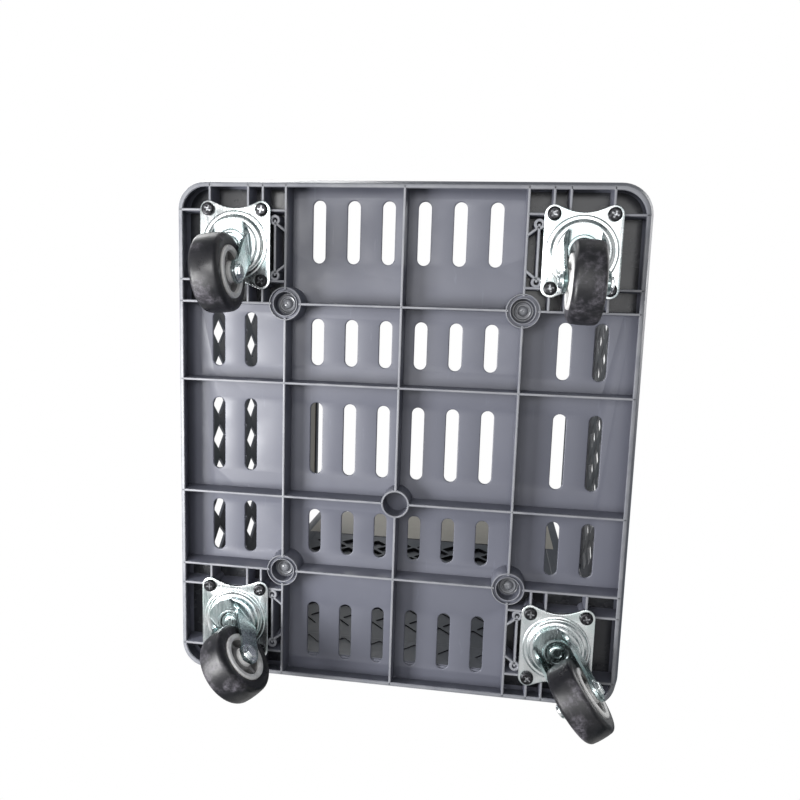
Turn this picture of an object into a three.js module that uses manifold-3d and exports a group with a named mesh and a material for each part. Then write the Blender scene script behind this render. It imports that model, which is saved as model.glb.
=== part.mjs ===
// Folding platform cart: a ribbed, slotted plastic platform on four swivel casters, with two bi-fold
// side walls, a fold-down back panel and a telescoping handle. Millimetres, +Z up, the front at -Y.
// The origin is on the floor, under the centre of the cart's box.
import * as THREE from "three";
import { mergeVertices } from "three/addons/utils/BufferGeometryUtils.js";
import Module from "manifold-3d";

const wasm = await Module();
wasm.setup();

// Driving dimensions
const GAP = 0.3; // between pieces that touch
const CASTER_HEIGHT = 73; // floor to the lower edge of the platform
const PLATFORM = { halfX: 191.5, halfY: 214, draft: 5.4, corner: 25, depth: 20.2, wall: 3.7, panel: 2.6 };
const RIB = 2.4;
const LONG_RIBS = [-95.6, 0, 95.6]; // x of the ribs along Y
const CROSS_RIBS = [-113.2, -48.2, 48.2, 113.2]; // y of the ribs along X
const SLOT_WIDTH = 10.5;
const SLOT_X_INNER = [-72.3, -43.4, -14.6, 14.6, 43.4, 72.3];
const SLOT_X_OUTER = [-159, -130.4, 130.4, 159];
// One row of slots: y of its centre, half lengths of the inner and the outer ones (0 for none).
const SLOT_ROWS = [
  { y: -172.5, inner: 25.35, outer: 0 },
  { y: -82.1, inner: 19.5, outer: 23 },
  { y: 0, inner: 30.8, outer: 31.3 },
  { y: 82.1, inner: 19.5, outer: 23 },
  { y: 172.5, inner: 25.35, outer: 0 },
];
const RING = { outer: 13.5, inner: 9.5, floor: 7 }; // screw rings where ribs cross
const RING_X = 95.6;
const RING_Y = 113.2;
const OPEN_RING = { y: 48.2, outer: 11.8, inner: 10.1 };
const CASTER = { x: 137, y: 159, holeX: 22.25, holeY: 28, trail: 24.6 };
const PILOT = { outer: 4.8, inner: 2.3, small: 4.2, smallHole: 1.9 };
const BAY_RIBS_X = [114.7, 127, 159.3];
const BAY_RIBS_Y = [131, 187];
const SMALL_BOSS = { x: 104.4, y: [135.5, 179.5] };

const WHEEL = { radius: 30, tyre: 22.6, width: 25, rim: 20, boss: 8, bore: 4.3, web: 4 };
const PLATE = { halfX: 29.5, halfY: 35, corner: 8, waist: 12, thick: 2.3, hole: 2.6 };
const RACE = { radius: 21, depth: 2.6 }; // pressed out below the plate
const BEARING = { outer: 20, inner: 6, thick: 3 };
// The fork's legs start shoulder below its crown, between front and back of the kingpin.
const FORK = { radius: 23, thick: 2.2, inside: 13.2, leg: 2.4, eye: 9, shoulder: 9, front: -16, back: 20 };
const KINGPIN = { radius: 4, head: 6.5, headHeight: 1.4 };
const AXLE = { radius: 4, head: 5.4, headHeight: 3.2 };
const SCREW = { radius: 1.9, head: 5, headHeight: 2.4, length: 14 };
const RING_SCREW = { radius: 2, head: 8.6, headHeight: 3.2, length: 5 };

const WALL = { thick: 7, x: 186.3, halfY: 186, top: 530, frontTop: 450, frame: 13, web: 2.4 };
const UPPER_HALF_Y = 178; // the upper wall half turns between the ears of the lower one
const CREST = { front: -25, back: 10 }; // y where the wall's top edge starts and ends its rise
const HINGE = { pin: 3, hole: 3.3, knuckle: 4.5, ear: 5, gap: 5 };
const KNUCKLE_LENGTH = 34;
const LUG = { inner: 187.5, outer: 193.5, half: 5 };
const FOLD_LEVEL = { right: 5.5, left: 23.6, back: 41.7 }; // pin heights above the deck
// The back panel is wider above its shoulder, where it clears the hinge posts.
const BACK = { halfX: 170, wideX: 179, shoulder: 158, y: 206, thick: 8, top: 540, web: 3, head: 28 };
// Its top edge stands higher in the middle, behind the grip, and in an ear at each corner.
const BACK_TOP = { crownX: 112, crown: 547, earX: 150, ear: 566 };
// Kerbs under the raised hinge lines
const KERB = { side: 17, sideHalf: 7, back: 35.5, backX: 168, backY: 196 };

const SLEEVE = { x: 100, width: 22, depth: 16, bottom: 142, top: 510, bore: 7.3 };
const TUBE = { radius: 7, bore: 5.6, top: 565 };
const GRIP = { z: 580, radius: 12, halfX: 113, socket: 552, post: 11 };
const BUTTON = { radius: 7, travel: 2.5, height: 9, pocket: 7.4, depth: 9.8 };

const SIDES = [
  { name: "left", sign: -1 },
  { name: "right", sign: 1 },
];
const CORNERS = [
  { name: "front_left", sx: -1, sy: -1, yaw: 84 },
  { name: "front_right", sx: 1, sy: -1, yaw: 92 },
  { name: "back_left", sx: -1, sy: 1, yaw: 49 },
  { name: "back_right", sx: 1, sy: 1, yaw: 51 },
];

// Worked-out levels
const DECK = CASTER_HEIGHT + PLATFORM.depth;
const CEILING = DECK - PLATFORM.panel; // underside of the deck panel
const HANDLE_Y = BACK.y + BACK.thick / 2 + GAP + SLEEVE.depth / 2;
const CENTRE_Y = (HANDLE_Y + GRIP.radius - PLATFORM.halfY) / 2;

const MATERIALS = {
  platform: new THREE.MeshStandardMaterial({ color: 0x5c5e66, roughness: 0.5, metalness: 0 }),
  wall: new THREE.MeshStandardMaterial({ color: 0x55575e, roughness: 0.55, metalness: 0 }),
  zinc: new THREE.MeshStandardMaterial({ color: 0xb9c2c4, roughness: 0.3, metalness: 1 }),
  tyre: new THREE.MeshStandardMaterial({ color: 0x2c2c2e, roughness: 0.8, metalness: 0 }),
  hub: new THREE.MeshStandardMaterial({ color: 0xdcdad0, roughness: 0.45, metalness: 0 }),
  screw: new THREE.MeshStandardMaterial({ color: 0x1c1d20, roughness: 0.4, metalness: 1 }),
  tube: new THREE.MeshStandardMaterial({ color: 0xc4c6c8, roughness: 0.3, metalness: 1 }),
  grip: new THREE.MeshStandardMaterial({ color: 0x232427, roughness: 0.6, metalness: 0 }),
};

// A closed three.js geometry as a solid that can be joined and cut.
function solid(geometry) {
  const bare = geometry.clone();
  bare.deleteAttribute("normal");
  bare.deleteAttribute("uv");
  const merged = mergeVertices(bare, 1e-4);
  const mesh = new wasm.Mesh({
    numProp: 3,
    vertProperties: new Float32Array(merged.attributes.position.array),
    triVerts: new Uint32Array(merged.index.array),
  });
  return new wasm.Manifold(mesh);
}

// A joined or cut solid as a three.js geometry again.
function geometryOf(body) {
  const mesh = body.getMesh();
  const geometry = new THREE.BufferGeometry();
  geometry.setAttribute("position", new THREE.BufferAttribute(mesh.vertProperties, 3));
  geometry.setIndex(new THREE.BufferAttribute(mesh.triVerts, 1));
  geometry.computeVertexNormals();
  return geometry;
}

function join(bodies) {
  return bodies.reduce((whole, body) => whole.add(body));
}

function box(x0, x1, y0, y1, z0, z1) {
  const geometry = new THREE.BoxGeometry(x1 - x0, y1 - y0, z1 - z0);
  geometry.translate((x0 + x1) / 2, (y0 + y1) / 2, (z0 + z1) / 2);
  return solid(geometry);
}

// A box whose x range is mirrored to the side with the given sign.
function sideBox(sign, x0, x1, y0, y1, z0, z1) {
  return sign > 0 ? box(x0, x1, y0, y1, z0, z1) : box(-x1, -x0, y0, y1, z0, z1);
}

function cylinderZ(radius, x, y, z0, z1, sides = 12) {
  const geometry = new THREE.CylinderGeometry(radius, radius, z1 - z0, sides);
  geometry.rotateX(Math.PI / 2);
  geometry.translate(x, y, (z0 + z1) / 2);
  return solid(geometry);
}

function cylinderY(radius, x, z, y0, y1, sides = 12) {
  const geometry = new THREE.CylinderGeometry(radius, radius, y1 - y0, sides);
  geometry.translate(x, (y0 + y1) / 2, z);
  return solid(geometry);
}

function cylinderX(radius, y, z, x0, x1, sides = 12) {
  const geometry = new THREE.CylinderGeometry(radius, radius, x1 - x0, sides);
  geometry.rotateZ(Math.PI / 2);
  geometry.translate((x0 + x1) / 2, y, z);
  return solid(geometry);
}

function roundedRectangle(halfX, halfY, radius) {
  const shape = new THREE.Shape();
  shape.moveTo(halfX - radius, -halfY);
  shape.absarc(halfX - radius, radius - halfY, radius, -Math.PI / 2, 0, false);
  shape.absarc(halfX - radius, halfY - radius, radius, 0, Math.PI / 2, false);
  shape.absarc(radius - halfX, halfY - radius, radius, Math.PI / 2, Math.PI, false);
  shape.absarc(radius - halfX, radius - halfY, radius, Math.PI, 1.5 * Math.PI, false);
  return shape;
}

function extrude(shape, z0, z1, curveSegments = 3) {
  const geometry = new THREE.ExtrudeGeometry(shape, { depth: z1 - z0, bevelEnabled: false, curveSegments });
  geometry.translate(0, 0, z0);
  return geometry;
}

// A rounded block that is narrower by the platform's draft at its lower end.
function draftedBlock(halfX, halfY, radius, z0, z1) {
  const geometry = extrude(roundedRectangle(halfX, halfY, radius), z0, z1);
  const position = geometry.attributes.position;
  const slope = PLATFORM.draft / PLATFORM.depth;
  for (let i = 0; i < position.count; i += 1) {
    const inset = (z1 - position.getZ(i)) * slope;
    position.setX(i, position.getX(i) * (1 - inset / halfX));
    position.setY(i, position.getY(i) * (1 - inset / halfY));
  }
  return solid(geometry);
}

function slot(x, y, halfLength) {
  const half = SLOT_WIDTH / 2;
  const shape = new THREE.Shape();
  shape.moveTo(x + half, y - halfLength + half);
  shape.absarc(x, y + halfLength - half, half, 0, Math.PI, false);
  shape.absarc(x, y - halfLength + half, half, Math.PI, 2 * Math.PI, false);
  return solid(extrude(shape, CEILING - 1, DECK + 1, 2));
}

function slots() {
  const cuts = [];
  for (const row of SLOT_ROWS) {
    SLOT_X_INNER.forEach((x) => cuts.push(slot(x, row.y, row.inner)));
    if (row.outer > 0) SLOT_X_OUTER.forEach((x) => cuts.push(slot(x, row.y, row.outer)));
  }
  return join(cuts);
}

function longRib(x, y0, y1) {
  return box(x - RIB / 2, x + RIB / 2, y0, y1, CASTER_HEIGHT, CEILING + 1);
}

function crossRib(y, x0, x1) {
  return box(x0, x1, y - RIB / 2, y + RIB / 2, CASTER_HEIGHT, CEILING + 1);
}

// The diagonal strut from a small boss to the rib beside it.
function strut(sx, sy, x, y, direction) {
  const length = (x - RING_X) * Math.SQRT2;
  const geometry = new THREE.BoxGeometry(length, RIB, CEILING + 1 - CASTER_HEIGHT);
  geometry.rotateZ((-direction * Math.PI) / 4);
  geometry.translate((x + RING_X) / 2, y + (direction * (x - RING_X)) / 2, (CEILING + 1 + CASTER_HEIGHT) / 2);
  const position = geometry.attributes.position;
  for (let i = 0; i < position.count; i += 1) {
    position.setX(i, position.getX(i) * sx);
    position.setY(i, position.getY(i) * sy);
  }
  return solid(sx * sy < 0 ? turnedInsideOut(geometry) : geometry);
}

function turnedInsideOut(geometry) {
  const index = geometry.index.array;
  for (let i = 0; i < index.length; i += 3) {
    [index[i + 1], index[i + 2]] = [index[i + 2], index[i + 1]];
  }
  return geometry;
}

// Ribs and bosses of one caster bay, and the holes in its bosses.
function casterBay({ sx, sy }) {
  const [innerX, outerX] = [RING_X, PLATFORM.halfX - PLATFORM.draft - 1];
  const [innerY, outerY] = [RING_Y, PLATFORM.halfY - PLATFORM.draft - 1];
  const ordered = (a, b) => (a < b ? [a, b] : [b, a]);
  const adds = [];
  const cuts = [];
  BAY_RIBS_X.forEach((x) => adds.push(longRib(sx * x, ...ordered(sy * innerY, sy * outerY))));
  BAY_RIBS_Y.forEach((y) => adds.push(crossRib(sy * y, ...ordered(sx * innerX, sx * outerX))));
  adds.push(longRib(sx * SMALL_BOSS.x, ...ordered(sy * SMALL_BOSS.y[0], sy * SMALL_BOSS.y[1])));
  SMALL_BOSS.y.forEach((y, i) => {
    adds.push(cylinderZ(PILOT.small, sx * SMALL_BOSS.x, sy * y, CASTER_HEIGHT, CEILING + 1, 8));
    adds.push(strut(sx, sy, SMALL_BOSS.x, y, i === 0 ? 1 : -1));
    cuts.push(cylinderZ(PILOT.smallHole, sx * SMALL_BOSS.x, sy * y, CASTER_HEIGHT - 1, CEILING - 1, 6));
  });
  for (const ax of [-1, 1]) {
    for (const ay of [-1, 1]) {
      const x = sx * CASTER.x + ax * CASTER.holeX;
      const y = sy * CASTER.y + ay * CASTER.holeY;
      adds.push(cylinderZ(PILOT.outer, x, y, CASTER_HEIGHT, CEILING + 1, 8));
      cuts.push(cylinderZ(PILOT.inner, x, y, CASTER_HEIGHT - 1, CEILING - 1, 6));
    }
  }
  return { adds, cuts };
}

// The rings where the ribs cross, each with a floor for its screw.
function screwRings() {
  const adds = [];
  const cuts = [];
  for (const sx of [-1, 1]) {
    for (const sy of [-1, 1]) {
      const [x, y] = [sx * RING_X, sy * RING_Y];
      adds.push(cylinderZ(RING.outer, x, y, CASTER_HEIGHT, CEILING + 1, 16));
      cuts.push(cylinderZ(RING.inner, x, y, CASTER_HEIGHT - 1, CEILING - RING.floor, 16));
      cuts.push(cylinderZ(RING_SCREW.radius + GAP, x, y, CEILING - RING.floor - 1, CEILING - 1, 6));
    }
  }
  adds.push(cylinderZ(OPEN_RING.outer, 0, OPEN_RING.y, CASTER_HEIGHT, CEILING + 1, 16));
  cuts.push(cylinderZ(OPEN_RING.inner, 0, OPEN_RING.y, CASTER_HEIGHT - 1, CEILING, 16));
  return { adds, cuts };
}

// Lugs and kerbs on the deck that carry the hinge lines of the walls, and their pin holes.
function hingeLines() {
  const adds = [];
  const cuts = [];
  for (const side of SIDES) {
    const pinZ = DECK + FOLD_LEVEL[side.name];
    const [x0, x1] = [WALL.x - LUG.half, WALL.x + LUG.half];
    adds.push(sideBox(side.sign, x0, x1, -LUG.outer, -LUG.inner, DECK - 1, pinZ + LUG.half));
    adds.push(sideBox(side.sign, BACK.halfX + 1.5, x1, LUG.inner, BACK.y + LUG.half, DECK - 1,
      DECK + FOLD_LEVEL.back + LUG.half));
    cuts.push(cylinderY(HINGE.hole, side.sign * WALL.x, pinZ, -LUG.outer - 1, LUG.outer + 0.5, 12));
  }
  const { side, sideHalf, back, backX, backY } = KERB;
  const lowLug = LUG.inner - 0.5;
  adds.push(box(-WALL.x - sideHalf, -WALL.x + sideHalf, -lowLug, lowLug, DECK - 1, DECK + side));
  adds.push(box(-backX, backX, backY, BACK.y + LUG.half, DECK - 1, DECK + back));
  cuts.push(cylinderX(HINGE.hole, BACK.y, DECK + FOLD_LEVEL.back, -BACK.halfX - 8, BACK.halfX + 8, 12));
  return { adds, cuts };
}

function basePlatform() {
  const { halfX, halfY, corner, wall, draft, depth } = PLATFORM;
  const shell = draftedBlock(halfX, halfY, corner, CASTER_HEIGHT, DECK);
  const shrink = (depth - PLATFORM.panel) / depth;
  const room = draftedBlock(halfX - wall, halfY - wall, corner - wall, CASTER_HEIGHT - 1, CEILING);
  const walls = shell.subtract(room);
  const parts = [...CORNERS.map(casterBay), screwRings()];
  const ribs = [
    ...LONG_RIBS.map((x) => longRib(x, -halfY + draft * shrink, halfY - draft * shrink)),
    ...CROSS_RIBS.map((y) => crossRib(y, -halfX + draft * shrink, halfX - draft * shrink)),
    ...parts.flatMap((part) => part.adds),
  ];
  const under = join(ribs).intersect(shell);
  const hinges = hingeLines();
  const highest = DECK + FOLD_LEVEL.back + LUG.half + 1;
  const outline = solid(extrude(roundedRectangle(halfX, halfY, corner), DECK - 1, highest));
  const above = join(hinges.adds).intersect(outline);
  const cuts = [slots(), ...parts.flatMap((part) => part.cuts), ...hinges.cuts];
  return geometryOf(walls.add(under).add(above).subtract(join(cuts)));
}

// A domed screw with its head down at z = 0 and its shank up along +Z.
function screwGeometry({ radius, head, headHeight, length }, sides = 8) {
  const profile = [
    [0, -headHeight], [head, -headHeight * 0.35], [head, 0],
    [radius, 0], [radius, length], [0, length],
  ];
  return latheZ(profile, sides);
}

// A solid of revolution about Z, from points of radius and height.
function latheZ(points, sides) {
  const geometry = new THREE.LatheGeometry(points.map(([r, z]) => new THREE.Vector2(r, z)), sides);
  geometry.rotateX(Math.PI / 2);
  return geometryOf(solid(geometry));
}

// The top plate with waisted ends, four screw holes and the upper ball race pressed out below it.
function casterPlate() {
  const { halfX, halfY, corner, waist, thick, hole } = PLATE;
  const top = CASTER_HEIGHT - GAP;
  const raceBottom = top - thick - RACE.depth;
  const [below, above] = [raceBottom - 1, top + 1];
  const plate = solid(extrude(roundedRectangle(halfX, halfY, corner), top - thick, top, 2));
  const raceBody = cylinderZ(RACE.radius, 0, 0, raceBottom, top - thick + 0.5, 20);
  const cuts = [cylinderZ(KINGPIN.radius + GAP, 0, 0, below, above)];
  for (const sy of [-1, 1]) {
    cuts.push(cylinderZ(waist, 0, sy * (halfY + 0.75 * waist), below, above));
    for (const sx of [-1, 1]) {
      cuts.push(cylinderZ(hole, sx * CASTER.holeX, sy * CASTER.holeY, below, above, 8));
    }
  }
  return geometryOf(plate.add(raceBody).subtract(join(cuts)));
}

const BEARING_TOP = CASTER_HEIGHT - GAP - PLATE.thick - RACE.depth - GAP;
const FORK_TOP = BEARING_TOP - BEARING.thick - GAP;

function casterBearing() {
  const ring = cylinderZ(BEARING.outer, 0, 0, BEARING_TOP - BEARING.thick, BEARING_TOP, 20);
  const hole = cylinderZ(BEARING.inner, 0, 0, BEARING_TOP - BEARING.thick - 1, BEARING_TOP + 1);
  return geometryOf(ring.subtract(hole));
}

// The tapering outline of a fork leg, seen from the side, x along the trail and y up.
function legShape() {
  const { eye, shoulder, front, back } = FORK;
  const shape = new THREE.Shape();
  shape.moveTo(front, FORK_TOP);
  shape.lineTo(front, FORK_TOP - shoulder);
  shape.absarc(CASTER.trail, WHEEL.radius, eye, 1.2 * Math.PI, 2 * Math.PI, false);
  shape.lineTo(CASTER.trail + 2, FORK_TOP - shoulder);
  shape.lineTo(back, FORK_TOP);
  return shape;
}

function casterFork() {
  const { radius, thick, inside, leg } = FORK;
  const top = cylinderZ(radius, 0, 0, FORK_TOP - thick, FORK_TOP, 20);
  const pin = cylinderZ(KINGPIN.radius, 0, 0, FORK_TOP - thick, CASTER_HEIGHT - GAP - 0.5);
  const rivet = cylinderZ(KINGPIN.head, 0, 0, FORK_TOP - thick - KINGPIN.headHeight, FORK_TOP - thick + 0.5);
  const legs = [-1, 1].map((side) => {
    const geometry = extrude(legShape(), 0, leg, 4);
    geometry.rotateX(Math.PI / 2);
    geometry.translate(0, side > 0 ? inside + leg : -inside, 0);
    return solid(geometry);
  });
  const hole = cylinderY(AXLE.radius + GAP, CASTER.trail, WHEEL.radius, -radius, radius);
  return geometryOf(join([top, pin, rivet, ...legs]).subtract(hole));
}

function wheelHub() {
  const { rim, width, boss, bore, web } = WHEEL;
  const half = width / 2 - 0.6;
  const profile = [
    [bore, -width / 2], [boss, -width / 2], [boss + 1, -web / 2], [rim - 3.5, -web / 2], [rim - 3, -half],
    [rim, -half], [rim, half], [rim - 3, half], [rim - 3.5, web / 2], [boss + 1, web / 2],
    [boss, width / 2], [bore, width / 2], [bore, -width / 2],
  ];
  return latheZ(profile, 16);
}

function wheelTyre() {
  const { rim, radius, tyre } = WHEEL;
  const half = tyre / 2;
  const inner = rim + GAP;
  const profile = [
    [inner, -half + 1.5], [radius - 7, -half], [radius - 2.5, -half + 2.5], [radius, -half + 6.5],
    [radius, half - 6.5], [radius - 2.5, half - 2.5], [radius - 7, half], [inner, half - 1.5],
    [inner, -half + 1.5],
  ];
  return latheZ(profile, 24);
}

function axleBolt() {
  const { radius, head, headHeight } = AXLE;
  const end = FORK.inside + FORK.leg + GAP;
  const shank = cylinderY(radius, 0, 0, -end - 0.5, end + 0.5);
  const heads = [-1, 1].map((side) => {
    const [a, b] = [side * end, side * (end + headHeight)];
    return cylinderY(head, 0, 0, Math.min(a, b), Math.max(a, b), 6);
  });
  return geometryOf(join([shank, ...heads]));
}

// A framed wall plate with a thin web, in the plane x = WALL.x mirrored to its side.
function framedPlate(sign, halfY, z0, z1) {
  const [x0, x1] = [WALL.x - WALL.thick / 2, WALL.x + WALL.thick / 2];
  const plate = sideBox(sign, x0, x1, -halfY, halfY, z0, z1);
  const { frame, web } = WALL;
  const pockets = [[x0 - 1, WALL.x - web / 2], [WALL.x + web / 2, x1 + 1]].map(([a, b]) =>
    sideBox(sign, a, b, -halfY + frame, halfY - frame, z0 + frame, z1 - frame));
  return plate.subtract(join(pockets));
}

function wallLevels(side) {
  const pinZ = DECK + FOLD_LEVEL[side.name];
  return { pinZ, midZ: (pinZ + WALL.top) / 2, midX: WALL.x + WALL.thick / 2 + GAP };
}

function lowerWall(side) {
  const { pinZ, midZ, midX } = wallLevels(side);
  const plate = framedPlate(side.sign, WALL.halfY, pinZ - WALL.thick / 2, midZ - HINGE.gap);
  const bodies = [plate];
  for (const end of [-1, 1]) {
    const range = (a, b) => (end > 0 ? [a, b] : [-b, -a]);
    const pin = range(WALL.halfY - 1, LUG.outer - 0.5);
    const ear = range(WALL.halfY - 6.5, WALL.halfY - 0.5);
    bodies.push(cylinderY(HINGE.pin, side.sign * WALL.x, pinZ, ...pin, 12));
    bodies.push(sideBox(side.sign, WALL.x - 2, midX + HINGE.ear, ...ear, midZ - 16, midZ + HINGE.ear));
  }
  const hole = cylinderY(HINGE.hole, side.sign * midX, midZ, -WALL.halfY - 1, WALL.halfY + 1, 12);
  return geometryOf(join(bodies).subtract(hole));
}

// The rear part of the upper wall half, whose top edge rises in an S from the lower front part.
function crest(sign) {
  const { front, back } = CREST;
  const [low, high, middle] = [WALL.frontTop, WALL.top, (front + back) / 2];
  const shape = new THREE.Shape();
  shape.moveTo(front, low - 1);
  shape.lineTo(UPPER_HALF_Y, low - 1);
  shape.lineTo(UPPER_HALF_Y, high);
  shape.lineTo(back, high);
  shape.bezierCurveTo(middle, high, middle, low, front, low);
  const centre = sign * WALL.x;
  const geometry = extrude(shape, centre - WALL.thick / 2, centre + WALL.thick / 2, 8);
  const [x, y, z] = [new THREE.Vector3(1, 0, 0), new THREE.Vector3(0, 1, 0), new THREE.Vector3(0, 0, 1)];
  geometry.applyMatrix4(new THREE.Matrix4().makeBasis(y, z, x));
  return solid(geometry);
}

function upperWall(side) {
  const { midZ, midX } = wallLevels(side);
  const plate = framedPlate(side.sign, UPPER_HALF_Y, midZ + HINGE.gap, WALL.frontTop);
  const bodies = [plate, crest(side.sign)];
  for (const end of [-1, 1]) {
    const range = (a, b) => (end > 0 ? [a, b] : [-b, -a]);
    const knuckle = range(UPPER_HALF_Y - KNUCKLE_LENGTH, UPPER_HALF_Y);
    bodies.push(cylinderY(HINGE.knuckle, side.sign * midX, midZ, ...knuckle, 12));
    bodies.push(sideBox(side.sign, WALL.x, WALL.x + WALL.thick / 2, ...knuckle, midZ, midZ + HINGE.gap + 1));
    bodies.push(cylinderY(HINGE.pin, side.sign * midX, midZ, ...range(UPPER_HALF_Y - 1, WALL.halfY - 1), 12));
  }
  return geometryOf(join(bodies));
}

// The back panel is solid: a stepped frame with a web, and a trunnion at each lower corner.
function backPanel() {
  const { halfX, wideX, shoulder, y, thick, top, web, head } = BACK;
  const { crownX, crown, earX, ear } = BACK_TOP;
  const pinZ = DECK + FOLD_LEVEL.back;
  const frame = WALL.frame;
  const [z0, y0, y1] = [pinZ - thick / 2, y - thick / 2, y + thick / 2];
  const plate = join([
    box(-halfX, halfX, y0, y1, z0, shoulder + 1),
    box(-wideX, wideX, y0, y1, shoulder, top),
    box(-crownX, crownX, y0, y1, top - 1, crown),
    ...SIDES.map(({ sign }) => sideBox(sign, earX, wideX, y0, y1, top - 1, ear)),
  ]);
  const pocket = box(-halfX + frame, halfX - frame, y0 - 1, y1 - web, z0 + frame, top - head);
  const pins = [-1, 1].map((end) => {
    const [a, b] = [end * (halfX - 1), end * (halfX + 7)];
    return cylinderX(HINGE.pin, y, pinZ, Math.min(a, b), Math.max(a, b), 12);
  });
  return geometryOf(join([plate.subtract(pocket), ...pins]));
}

function handleSleeve(sign) {
  const { x, width, depth, bottom, top, bore } = SLEEVE;
  const centre = sign * x;
  const [x0, x1, y0, y1] = [centre - width / 2, centre + width / 2, HANDLE_Y - depth / 2, HANDLE_Y + depth / 2];
  const block = box(x0, x1, y0, y1, bottom, top);
  return geometryOf(block.subtract(cylinderZ(bore, centre, HANDLE_Y, bottom - 1, top + 1, 16)));
}

function handleTube(sign) {
  const { radius, bore, top } = TUBE;
  const centre = sign * SLEEVE.x;
  const tube = cylinderZ(radius, centre, HANDLE_Y, SLEEVE.bottom, top, 16);
  return geometryOf(tube.subtract(cylinderZ(bore, centre, HANDLE_Y, SLEEVE.bottom - 1, top + 1, 16)));
}

function handleGrip() {
  const { z, radius, halfX, socket, post } = GRIP;
  const bar = cylinderX(radius, HANDLE_Y, z, -halfX, halfX, 16);
  const upright = (r, s, z0, z1) => cylinderZ(r, s * SLEEVE.x, HANDLE_Y, z0, z1, 16);
  const posts = [-1, 1].map((s) => upright(post, s, socket, z));
  const sockets = [-1, 1].map((s) => upright(TUBE.radius + GAP, s, socket - 1, TUBE.top + GAP));
  const pocket = cylinderZ(BUTTON.pocket, 0, HANDLE_Y, z + radius - BUTTON.depth, z + radius + 5, 16);
  return geometryOf(join([bar, ...posts]).subtract(join([...sockets, pocket])));
}

function releaseButton() {
  const bottom = GRIP.z + GRIP.radius - BUTTON.depth + BUTTON.travel + GAP;
  return geometryOf(cylinderZ(BUTTON.radius, 0, HANDLE_Y, bottom, bottom + BUTTON.height, 16));
}

const cart = new THREE.Group();
cart.position.y = -CENTRE_Y;

function place(parent, name, geometry, material, position = [0, 0, 0]) {
  const mesh = new THREE.Mesh(geometry, material);
  mesh.name = name;
  mesh.position.set(...position);
  parent.add(mesh);
}

function addPlatform() {
  place(cart, "base_platform", basePlatform(), MATERIALS.platform);
  for (const { name, sx, sy } of CORNERS) {
    const position = [sx * RING_X, sy * RING_Y, CEILING - RING.floor - GAP];
    place(cart, "ring_screw_" + name, screwGeometry(RING_SCREW, 12), MATERIALS.platform, position);
  }
}

function addCaster({ name, sx, sy, yaw }) {
  const mount = new THREE.Group();
  mount.position.set(sx * CASTER.x, sy * CASTER.y, 0);
  cart.add(mount);
  place(mount, "caster_plate_" + name, casterPlate(), MATERIALS.zinc);
  place(mount, "caster_bearing_" + name, casterBearing(), MATERIALS.zinc);
  let number = 1;
  for (const ax of [-1, 1]) {
    for (const ay of [-1, 1]) {
      const position = [ax * CASTER.holeX, ay * CASTER.holeY, CASTER_HEIGHT - 2 * GAP - PLATE.thick];
      place(mount, `caster_screw_${name}_${number}`, screwGeometry(SCREW), MATERIALS.screw, position);
      number += 1;
    }
  }
  const swivel = new THREE.Group();
  swivel.rotation.z = THREE.MathUtils.degToRad(yaw);
  mount.add(swivel);
  place(swivel, "caster_fork_" + name, casterFork(), MATERIALS.zinc);
  const axle = new THREE.Group();
  axle.position.set(CASTER.trail, 0, WHEEL.radius);
  swivel.add(axle);
  place(axle, "axle_bolt_" + name, axleBolt(), MATERIALS.zinc);
  const wheel = new THREE.Group();
  wheel.rotation.x = Math.PI / 2;
  axle.add(wheel);
  place(wheel, "wheel_hub_" + name, wheelHub(), MATERIALS.hub);
  place(wheel, "wheel_tyre_" + name, wheelTyre(), MATERIALS.tyre);
}

function addWalls() {
  for (const side of SIDES) {
    place(cart, side.name + "_wall_lower", lowerWall(side), MATERIALS.wall);
    place(cart, side.name + "_wall_upper", upperWall(side), MATERIALS.wall);
  }
  place(cart, "back_panel", backPanel(), MATERIALS.wall);
}

function addHandle() {
  for (const side of SIDES) {
    place(cart, "handle_sleeve_" + side.name, handleSleeve(side.sign), MATERIALS.grip);
    place(cart, "handle_tube_" + side.name, handleTube(side.sign), MATERIALS.tube);
  }
  place(cart, "handle_grip", handleGrip(), MATERIALS.grip);
  place(cart, "release_button", releaseButton(), MATERIALS.grip);
}

addPlatform();
CORNERS.forEach(addCaster);
addWalls();
addHandle();

export default cart;
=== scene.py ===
"""Folding platform cart: the looks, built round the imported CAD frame.

Shapes are written in millimetres in the cart's own layout (the platform's centre at x = y = 0, the floor at
z = 0) and are scaled to metres when a mesh is made. CENTRE shifts them into the frame.
"""
import math

import bmesh
import bpy
from mathutils import Matrix, Vector


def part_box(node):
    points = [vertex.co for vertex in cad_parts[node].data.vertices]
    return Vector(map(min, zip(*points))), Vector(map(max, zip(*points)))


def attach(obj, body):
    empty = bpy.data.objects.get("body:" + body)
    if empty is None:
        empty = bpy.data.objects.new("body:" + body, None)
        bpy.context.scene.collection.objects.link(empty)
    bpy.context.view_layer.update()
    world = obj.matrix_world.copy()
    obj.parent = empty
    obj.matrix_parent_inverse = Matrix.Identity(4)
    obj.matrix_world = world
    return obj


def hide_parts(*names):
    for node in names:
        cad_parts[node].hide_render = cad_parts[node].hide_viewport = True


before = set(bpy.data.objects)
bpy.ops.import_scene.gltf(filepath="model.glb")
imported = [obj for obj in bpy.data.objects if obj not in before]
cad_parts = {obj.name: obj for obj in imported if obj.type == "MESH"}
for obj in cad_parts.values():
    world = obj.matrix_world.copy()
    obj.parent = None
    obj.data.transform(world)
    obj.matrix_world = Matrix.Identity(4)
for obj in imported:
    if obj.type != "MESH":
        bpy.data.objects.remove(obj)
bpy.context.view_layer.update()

MM = 0.001
TAU = 2 * math.pi
HERE = Matrix.Identity(4)
QUARTERS = [(x, y) for x in (-1, 1) for y in (-1, 1)]


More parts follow.
